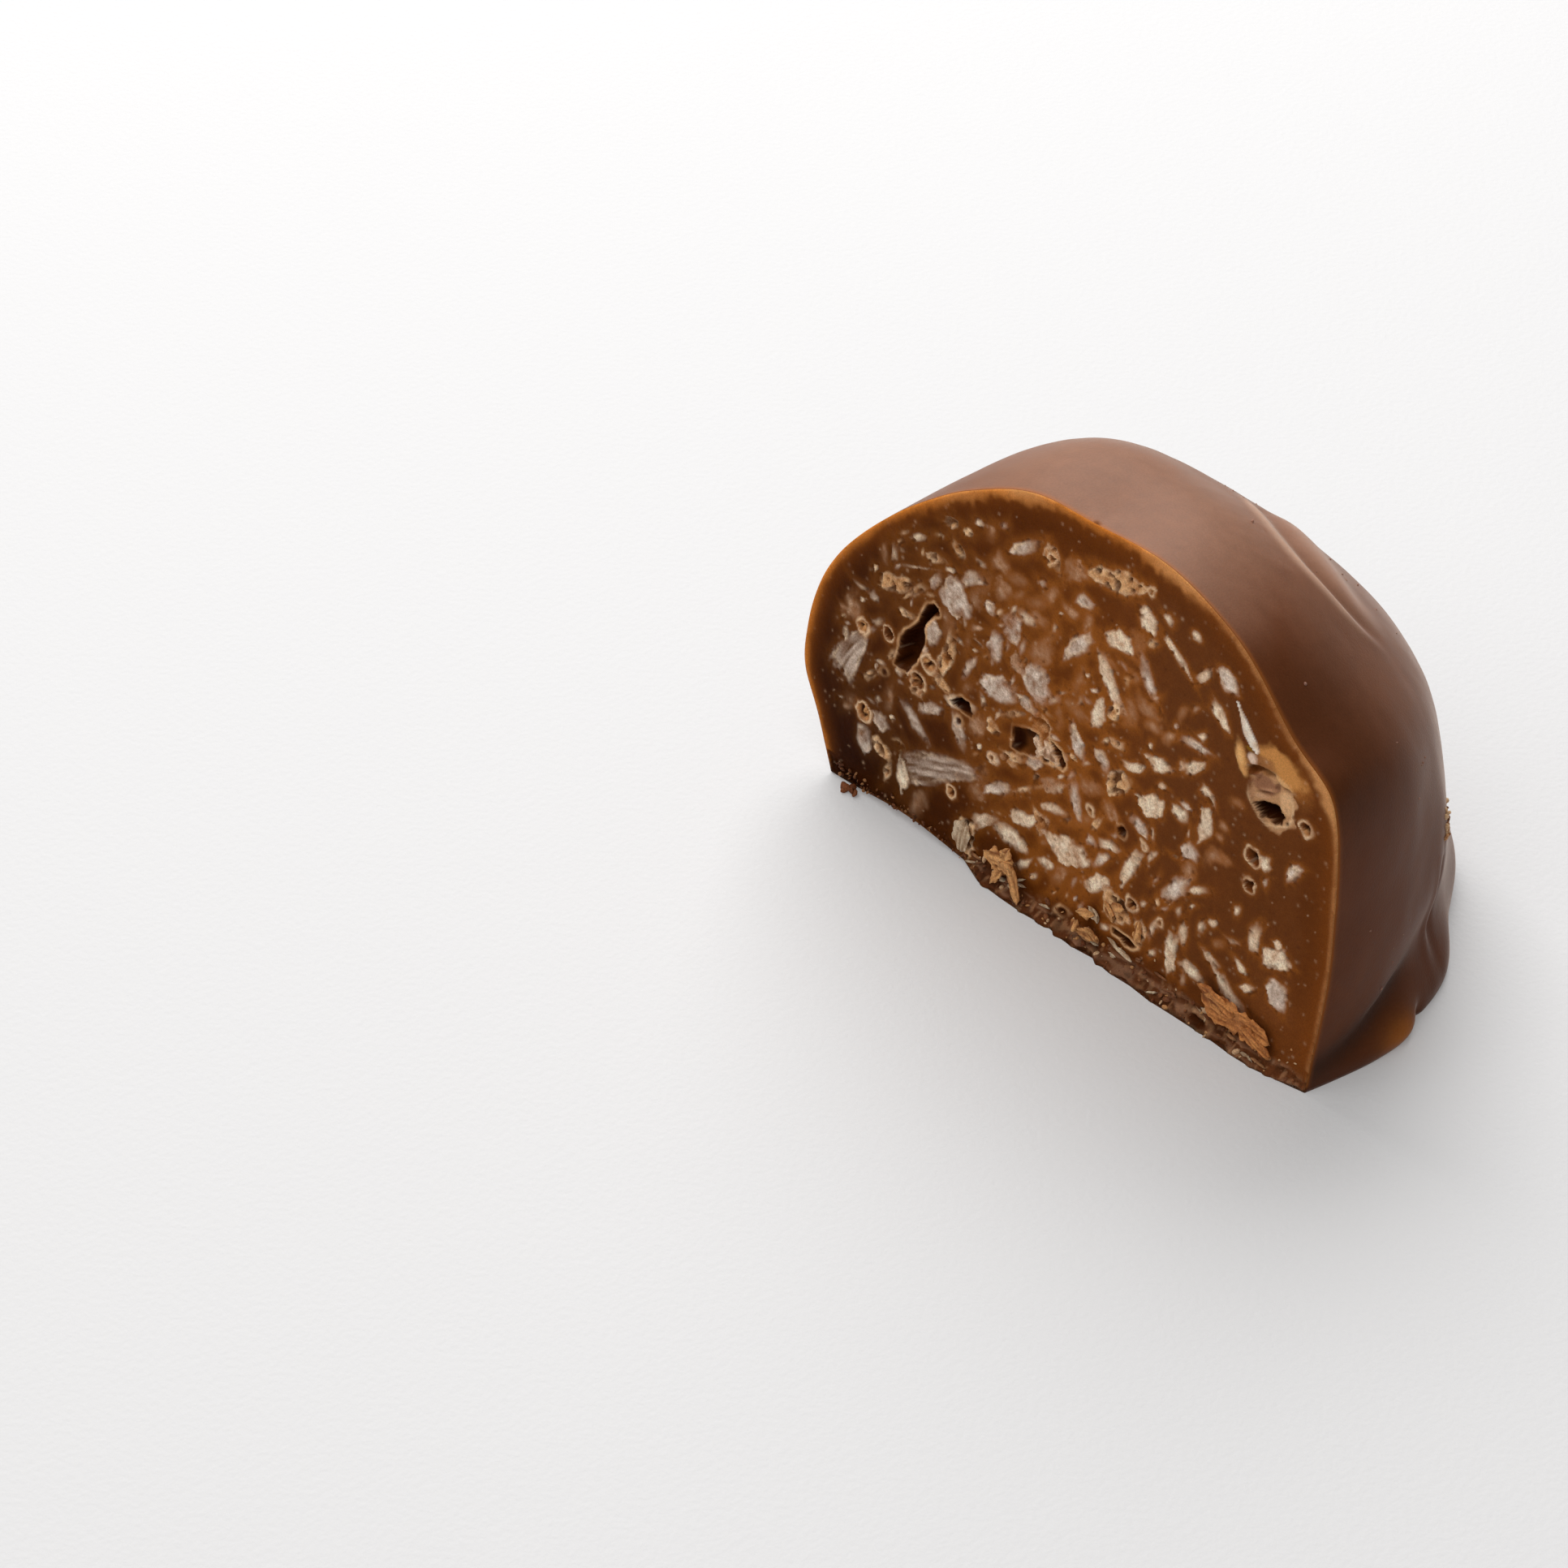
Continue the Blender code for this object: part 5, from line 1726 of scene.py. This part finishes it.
CHIPS: tuple[Chip, ...] = (
    Chip(11.15, 1.75, 4.3, 1.45, -3, 0.34, *ORANGE, curl=0.1, ragged=0.45),
    Chip(10.1, 2.15, 2.4, 0.8, -10, 0.44, *ORANGE, curl=0.1, ragged=0.6),
    Chip(12.5, 1.3, 1.8, 0.8, -24, 0.40, *ORANGE, curl=0.1, ragged=0.6),
    Chip(-3.9, 2.0, 1.7, 0.9, 12, 0.36, *TAN_CHIP, ragged=0.6),
    Chip(-4.3, 1.5, 1.3, 0.8, -35, 0.40, *TAN_CHIP, ragged=0.6),
    Chip(-2.85, 1.2, 1.9, 0.62, -72, 0.50, *TAN_CHIP, ragged=0.45),
    Chip(-3.5, 2.35, 1.1, 0.6, 55, 0.46, *TAN_CHIP, ragged=0.6),
    Chip(-4.0, 1.0, 1.1, 0.5, 60, 0.50, *TAN_CHIP, ragged=0.6),
    Chip(-3.3, 1.8, 0.9, 0.6, -15, 0.56, *TAN_CHIP, ragged=0.6),
    Chip(-6.7, 1.6, 1.8, 1.0, 80, 0.25, *PALE_CHIP, ragged=0.5),
    Chip(1.7, 1.0, 1.2, 0.55, 12, 0.40, *TAN_CHIP, ragged=0.7),
    Chip(1.1, 1.1, 0.6, 0.5, 70, 0.42, *TAN_CHIP, ragged=0.7),
    Chip(2.2, 1.15, 0.7, 0.45, -30, 0.42, *TAN_CHIP, ragged=0.7),
    Chip(1.5, 1.9, 1.1, 0.5, 20, 0.15, *TAN_CHIP, ragged=0.7),
    Chip(2.0, 2.1, 0.6, 0.42, -40, 0.2, *PALE_CHIP, ragged=0.7),
    Chip(3.7, 1.1, 1.7, 0.2, -10, 0.12, *PALE_CHIP),
    Chip(3.4, 3.2, 0.9, 0.55, 30, 0.08, *TAN_CHIP, ragged=0.7),
    Chip(2.9, 2.7, 0.8, 0.5, -50, 0.10, *TAN_CHIP, ragged=0.7),
    Chip(4.8, 2.7, 1.1, 0.5, 80, 0.10, *TAN_CHIP, ragged=0.7),
)


@dataclass(frozen=True)
class Cluster:
    """Crumbs that stick to the coating near one place: how widely, how many and how large."""

    azimuth: float
    height: float
    spread: float
    count: int
    size: float


CLUSTERS: tuple[Cluster, ...] = (
    Cluster(40, 8.4, 0.75, 26, 0.22), Cluster(67, 20.7, 0.1, 1, 0.18), Cluster(12, 18.4, 0.1, 1, 0.2),
    Cluster(17, 3.8, 0.1, 1, 0.2), Cluster(30, 12.0, 2.5, 5, 0.09), Cluster(60, 17.0, 3.0, 7, 0.09),
    Cluster(100, 19.5, 2.5, 5, 0.09), Cluster(15, 6.0, 2.5, 5, 0.09),
)


@dataclass
class Crumbs:
    """The shavings, chips and crumbs that the knife left on the cut and along its base."""

    seed: int = 61
    along_base: int = 190
    at_left_end: int = 22
    along_left: int = 60
    in_left_heap: int = 9
    scrap_count: int = 30
    # A cluster of more crumbs than this is coconut, and the others are dusty chocolate.
    crowded: int = 10
    upper_height: float = 12.0
    first_upper_step: int = 60
    first_lower_step: int = 12

    def lumps(self) -> list[Crumb]:
        """Return the crumbs along the base and the few on the coating.

        Returns:
            The crumbs.
        """
        rng = random.Random(self.seed)
        lumps = []
        for _ in range(self.along_base):
            x, z = rng.uniform(-7.2, 14.6), abs(rng.gauss(0.25, 0.55)) + 0.08
            reach = float(DOME.lip(np.array(x), np.array(z)))
            size = rng.uniform(0.06, 0.16) if rng.random() < 0.8 else rng.uniform(0.16, 0.3)
            place = (x, -reach - 0.15 * size, z)
            lumps.append(Crumb(place, size, rng.choice(BASE_CRUMBS), rng.uniform(1, 2)))
        for _ in range(self.at_left_end):
            x = rng.uniform(-15.7, -13.2)
            size = rng.uniform(0.08, 0.22)
            place = (x, -0.05, rng.uniform(0.25, 0.9))
            lumps.append(Crumb(place, size, rng.choice(DULL_CRUMBS), rng.uniform(1, 1.8)))
        for _ in range(self.along_left):
            x = rng.uniform(-14.2, -7.2)
            z = float(DOME.arch(np.array(x))) + abs(rng.gauss(0.1, 0.3))
            size = rng.uniform(0.06, 0.16)
            shade = rng.choice((*DULL_CRUMBS, BASE_CRUMBS[3]))
            lumps.append(Crumb((x, -0.03, z), size, shade, rng.uniform(1, 1.8)))
        for _ in range(self.in_left_heap):
            place = (rng.gauss(-14.3, 0.3), -0.4 + rng.gauss(0, 0.1), 0.12 + 0.25 * rng.random())
            size = rng.uniform(0.22, 0.42)
            lumps.append(Crumb(place, size, rng.choice(HEAP_CRUMBS), rng.uniform(1, 1.7)))
        return lumps + self.on_coating(rng)

    def scraps(self) -> list[Chip]:
        """Return the many small ragged layers along the base.

        Returns:
            The layers.
        """
        rng = random.Random(self.seed + 1)
        scraps = []
        for _ in range(self.scrap_count):
            x, z = rng.uniform(-6.5, 14.2), rng.uniform(0.15, 1.15)
            reach = float(DOME.lip(np.array(x), np.array(z)))
            colours = rng.choice(SCRAPS)
            length, width, tilt = rng.uniform(0.3, 0.9), rng.uniform(0.10, 0.24), rng.gauss(0, 20)
            scraps.append(Chip(x, z, length, width, tilt, reach + 0.02, *colours,
                               curl=0.3, thickness=0.09, ragged=0.6))
        return scraps

    def on_coating(self, rng: random.Random) -> list[Crumb]:
        """Return the crumbs that stick to the coating.

        Args:
            rng: The random draws to go on with.

        Returns:
            The crumbs.
        """
        grid = DOME.skin(np.linspace(0, 180, 181), 200)
        lumps = []
        for cluster in CLUSTERS:
            first = self.first_upper_step if cluster.height > self.upper_height else self.first_lower_step
            for _ in range(cluster.count):
                row = int(np.clip(cluster.azimuth + rng.gauss(0, 2.2 * cluster.spread), 1, 179))
                line = grid[row, first:]
                off = line[:, 2] - cluster.height - rng.gauss(0, 0.55 * cluster.spread)
                point = line[np.argmin(np.abs(off))]
                shade = rng.choice(STUCK_CRUMBS)
                if cluster.count <= self.crowded:
                    shade = DUSTY_CRUMB
                size = cluster.size * rng.uniform(0.6, 1.3)
                lumps.append(Crumb(tuple(point), size, shade, rng.uniform(1, 1.6)))
        return lumps

    def join(self, name: str, parts: list, paint: Paint) -> bpy.types.Object:
        """Make one piece of many small closed surfaces, with their colours.

        Args:
            name: The piece's name.
            parts: The chips or crumbs.
            paint: The finish.

        Returns:
            The piece.
        """
        points, faces, colours, start = [], [], [], 0
        for number, part in enumerate(parts):
            more, sides, shades = part.surface(self.seed + number)
            faces += [[corner + start for corner in side] for side in sides]
            points.append(more)
            colours.append(shades)
            start += len(more)
        made = new_piece(name, np.concatenate(points), faces, paint)
        store(made, "tint", np.concatenate(colours))
        return made

    def build(self, paint: Paint) -> list[bpy.types.Object]:
        """Build the chips and the crumbs and return them.

        Args:
            paint: Their finish.

        Returns:
            The two pieces.
        """
        shavings = self.join("shavings", list(CHIPS) + self.scraps(), paint)
        return [shavings, self.join("crumbs", self.lumps(), paint)]


@dataclass
class CoatingSkin:
    """The outside of the half dome, with its base, its edge at the cut and its inner wall."""

    around: int = 250
    up: int = 150
    colour: Colour = tone(90, 48, 24)
    lighter: Colour = tone(102, 56, 30)
    # A painted sheen, towards the crown and on the lit side.
    painted_sheen: Colour = tone(165, 126, 104)
    painted_sheen_share: float = 0.52
    shoulder_painted_shade: Colour = tone(64, 32, 12)
    lobe_painted_light: Colour = tone(168, 128, 106)
    ridge_painted_highlight: Colour = tone(206, 170, 146)
    toe_shade: Colour = tone(84, 40, 10)
    valley_painted_shade: Colour = tone(46, 21, 6)
    toe_painted_glow: Colour = tone(176, 102, 34)
    edge_painted_glow: Colour = tone(170, 96, 36)
    mottle_seed: int = 77
    mottle_size: float = 2.4
    wall_bulge: float = 2.0
    wall_bulge_depth: float = 3.0

    def build(self, paint: Paint) -> bpy.types.Object:
        """Build the coating's piece and return it.

        Args:
            paint: Its finish.

        Returns:
            The piece.
        """
        azimuths = 180 * self.spread(np.linspace(0, 1, self.around + 1))
        outer = DOME.skin(azimuths, self.up)
        inner = DOME.wall(azimuths, self.up, 0.0)
        inner[..., 1] += self.wall_bulge * bump(inner[..., 1] / self.wall_bulge_depth)
        rows, columns = outer.shape[:2]
        points = np.concatenate([outer.reshape(-1, 3), inner.reshape(-1, 3)])
        faces = grid_faces(rows, columns) + grid_faces(rows, columns, rows * columns, flip=True)
        numbers = np.arange(rows * columns).reshape(rows, columns)
        rim = numbers[0].tolist() + numbers[-1, ::-1].tolist()
        rim = rim[:columns] + rim[columns + 1:-1]
        for a, b in zip(rim, rim[1:] + rim[:1]):
            faces.append([a, b, b + rows * columns, a + rows * columns])
        tints = np.concatenate([self.tints(azimuths, outer), np.tile(self.colour, (rows * columns, 1))])
        points, faces, order = self.merge_poles(points, faces, rows, columns)
        made = new_piece("coating_skin", points, faces, paint)
        store(made, "tint", tints[order])
        return made

    def tints(self, azimuths: Array, grid: Array) -> Array:
        """Return the skin's colours: a painted sheen towards the crown and on the lit side, painted light
        and shade at the shoulder and the fold, darker and warmer low on the foot, painted shade above the
        toe, and a painted glow at the toe and along the cut.

        Args:
            azimuths: The azimuths of the grid's rows.
            grid: The outer skin's points.

        Returns:
            One colour for each point.
        """
        azimuth, height = azimuths[:, None], grid[..., 2]
        noise = Noise(self.mottle_seed)
        across, back = grid[..., 0] + 0.6 * height, grid[..., 1] - 0.4 * height
        mottle = noise.layered(across, back, self.mottle_size)
        colours = mixed(self.colour, self.lighter, 0.5 + 0.5 * mottle)
        # Painted sheen towards the crown, reaching lower towards the lit side, and a fainter painted sheen
        # over the lit side.
        lit_side = ramp(15, 100, azimuth)
        painted_sheen_from = 19.4 - 1.9 * ramp(25, 60, azimuth) - 2.0 * lit_side
        share = self.painted_sheen_share * ramp(painted_sheen_from, 22.3, height + 0.4 * mottle)
        share = np.maximum(share, 0.24 * ramp(5, 35, azimuth) * ramp(4, 16, height))
        colours = mixed(colours, self.painted_sheen, share)
        lobe = DOME.finer_fold.behind(grid[..., 0], grid[..., 1]) * ramp(15.5, 18.0, height)
        ridge = DOME.finer_fold.ridge(grid[..., 0], grid[..., 1]) * ramp(16.6, 18.6, height)
        valley = 1.1 + 0.095 * azimuth
        places = (
            # Painted shade on the right shoulder, which faces away from the light.
            (self.shoulder_painted_shade, 0.64 * bump((azimuth - 8) / 17) * bump((height - 16.2) / 3.0)),
            # Painted light on the lobe behind the fold, and a painted highlight on the ridge in front of
            # it.
            (self.lobe_painted_light, 0.75 * lobe),
            (self.ridge_painted_highlight, 0.6 * ridge),
            (self.toe_shade, 0.4 * ramp(1.9, 0.8, height) * ramp(40, 25, azimuth)),
            # Painted shade in the valley above the toe.
            (self.valley_painted_shade, 0.74 * bump((height - valley) / 0.95) * ramp(30, 22, azimuth)),
            # A painted glow at the toe and along the skin's edge at the cut.
            (self.toe_painted_glow, 0.8 * bump(np.hypot((azimuth - 20.5) / 4.6, (height - 0.6) / 0.8))),
            (self.edge_painted_glow, 0.6 * bump(grid[..., 1] / 0.14) * (height > 0.3)),
        )
        for colour, strength in places:
            colours = mixed(colours, colour, strength + 0 * height)
        return colours.reshape(-1, 3)

    def spread(self, share: Array) -> Array:
        """Return shares of the half turn that lie closer together near the cut."""
        return share - 0.06 * np.sin(2 * math.pi * share) / math.pi

    def merge_poles(self, points: Array, faces: list, rows: int, columns: int) -> tuple[Array, list, Array]:
        """Give each grid one point at the crown and one at the middle of its base.

        Args:
            points: The points of both grids.
            faces: Their faces.
            rows: Rows of points in each grid.
            columns: Points in each row.

        Returns:
            The points left, the faces left and the old numbers of the points left.
        """
        keep = np.arange(len(points))
        for start in (0, rows * columns):
            numbers = np.arange(rows * columns).reshape(rows, columns) + start
            keep[numbers[:, 0]] = numbers[0, 0]
            keep[numbers[:, -1]] = numbers[0, -1]
        order, renumbered = np.unique(keep, return_inverse=True)
        merged = []
        for face in faces:
            corners = list(dict.fromkeys(int(renumbered[c]) for c in face))
            if len(corners) > 2:
                merged.append(corners)
        return points[order], merged, order


@dataclass(frozen=True)
class SkinFinish:
    """Satin milk chocolate that set in air, faintly mottled."""

    roughness: float = 0.42

    def paint(self) -> Paint:
        """Make the material.

        Returns:
            The material's nodes.
        """
        paint = Paint("milk_chocolate_skin", {
            "Subsurface Weight": 0.12, "Subsurface Scale": 0.0006, "Subsurface Radius": (1.0, 0.45, 0.25),
            "Specular IOR Level": 0.07, "IOR": 1.46, "Sheen Weight": 0.38, "Sheen Roughness": 0.22,
            "Sheen Tint": (1.0, 0.86, 0.76, 1.0)})
        mottle = paint.grain(0.7, 3.0)
        fine = paint.grain(0.09, 2.0)
        both = mottle * 0.5 + fine * 0.5
        paint.wear(Base_Color=paint.varied(both, (0.25, grey(0.86)), (0.75, grey(1.14))))
        paint.wear(Roughness=self.roughness + 0.10 * mottle + 0.04 * fine)
        paint.raise_by(fine * 0.6 + paint.grain(1.6, 1.0) * 0.6, 0.02)
        return paint


@dataclass(frozen=True)
class CutFinish:
    """The knife's face: chocolate, coconut and air bubbles, as painted on the relief."""

    def paint(self) -> Paint:
        """Make the material.

        Returns:
            The material's nodes.
        """
        paint = Paint("cut_coconut_filling", {
            "Subsurface Weight": 0.2, "Subsurface Scale": 0.0005, "Subsurface Radius": (1.0, 0.5, 0.28),
            "Specular IOR Level": 0.015, "IOR": 1.46})
        fine = paint.grain(0.07, 2.0)
        speckle = paint.grain(0.085, 3.0, 0.6)
        plain = paint.varied(fine, (0.3, grey(0.82)), (0.7, grey(1.12)))
        fleshy = paint.varied(speckle, (0.36, (0.78, 0.72, 0.66)), (0.64, grey(1.26)))
        paint.wear(Base_Color=paint.mix(paint.carried("pale"), plain, fleshy))
        paint.wear(Roughness=paint.carried("sheen") + 0.06 * fine)
        paint.raise_by(paint.grain(0.08, 3.0) + paint.carried("pale") * paint.grain(0.12, 2.0), 0.012)
        return paint


@dataclass(frozen=True)
class CrumbFinish:
    """Dry crumbs and shavings of chocolate and toasted coconut."""

    def paint(self) -> Paint:
        """Make the material.

        Returns:
            The material's nodes.
        """
        paint = Paint("dry_crumbs", {
            "Subsurface Weight": 0.15, "Subsurface Scale": 0.0004, "Subsurface Radius": (1.0, 0.5, 0.3),
            "Specular IOR Level": 0.15, "Roughness": 0.6})
        fine = paint.grain(0.08, 3.0)
        paint.wear(Base_Color=paint.varied(fine, (0.3, (0.7, 0.66, 0.62)), (0.7, grey(1.2))))
        paint.raise_by(fine, 0.03)
        return paint


@dataclass
class Studio:
    """The pale table, the soft light and the camera at the photograph's angle."""

    camera_place: tuple[float, float, float] = (136.89, -130.63, 140.16)
    camera_aim: tuple[float, float, float] = (-16.73, -2.31, 0.0)
    lens: float = 121.1
    table_colour: Colour = (0.50, 0.50, 0.50)
    # A faint glow that keeps the shadows on the table pale, as soft light from all round does.
    table_glow: float = 0.18
    table_half: float = 1.5
    key_place: tuple[float, float, float] = (-235, 150, 300)
    key_size: float = 380
    key_watts: float = 2.35
    fill_place: tuple[float, float, float] = (60, -260, 420)
    fill_size: float = 450
    fill_watts: float = 1.3
    light_colour: Colour = tone(255, 254, 254)
    sky_strength: float = 0.15

    def build(self) -> None:
        """Build the table, the lights and the camera."""
        self.build_table()
        self.build_camera()
        self.build_light("key", self.key_place, self.key_size, self.key_watts)
        self.build_light("fill", self.fill_place, self.fill_size, self.fill_watts)
        world = bpy.data.worlds.new("studio")
        world.use_nodes = True
        background = world.node_tree.nodes["Background"]
        background.inputs["Color"].default_value = (1.0, 1.0, 1.0, 1.0)
        background.inputs["Strength"].default_value = self.sky_strength
        bpy.context.scene.world = world
        bpy.context.scene.view_settings.view_transform = "Standard"

    def build_table(self) -> None:
        """Build the pale table top with its faint paper grain."""
        half = self.table_half
        corners = [(-half, -half, 0), (half, -half, 0), (half, half, 0), (-half, half, 0)]
        data = bpy.data.meshes.new("table")
        data.from_pydata(corners, [], [(0, 1, 2, 3)])
        table = bpy.data.objects.new("table", data)
        bpy.context.scene.collection.objects.link(table)
        paint = Paint("pale_table", {
            "Roughness": 0.75, "Base Color": (*self.table_colour, 1.0),
            "Emission Color": (1.0, 0.98, 0.97, 1.0), "Emission Strength": self.table_glow})
        paint.raise_by(paint.grain(0.35, 2.0), 0.03)
        data.materials.append(paint.material)

    def build_camera(self) -> None:
        """Place the camera where the photograph was taken from."""
        data = bpy.data.cameras.new("camera")
        data.lens = self.lens
        data.sensor_width = 36.0
        data.clip_start, data.clip_end = 0.01, 10.0
        camera = bpy.data.objects.new("camera", data)
        place = Vector(np.array(self.camera_place) * MM + DOME_SHIFT)
        aim = Vector(np.array(self.camera_aim) * MM + DOME_SHIFT)
        camera.location = place
        camera.rotation_euler = (aim - place).to_track_quat("-Z", "Y").to_euler()
        bpy.context.scene.collection.objects.link(camera)
        bpy.context.scene.camera = camera

    def build_light(self, name: str, place: tuple, size: float, watts: float) -> None:
        """Place a soft square light, in millimetres, aimed at the piece.

        Args:
            name: The light's name.
            place: Where it stands.
            size: The length of its side.
            watts: Its power.
        """
        data = bpy.data.lights.new(name, "AREA")
        data.size = size * MM
        data.energy = watts
        data.color = self.light_colour
        light = bpy.data.objects.new(name, data)
        light.location = Vector(place) * MM
        light.rotation_euler = (Vector((0, 0, 0.01)) - light.location).to_track_quat("-Z", "Y").to_euler()
        bpy.context.scene.collection.objects.link(light)


def main() -> None:
    """Build every piece in order."""
    logging.basicConfig(level=logging.INFO, format="%(name)s: %(message)s")
    Studio().build()
    skin = CoatingSkin().build(SkinFinish().paint())
    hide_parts("coating")
    LOG.info("coating skin: %d faces", len(skin.data.polygons))
    filling = CutFace().build(CutFinish().paint())
    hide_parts("filling")
    LOG.info("cut filling: %d faces", len(filling.data.polygons))
    for piece in Crumbs().build(CrumbFinish().paint()):
        LOG.info("%s: %d faces", piece.name, len(piece.data.polygons))


if __name__ == "__main__":
    main()
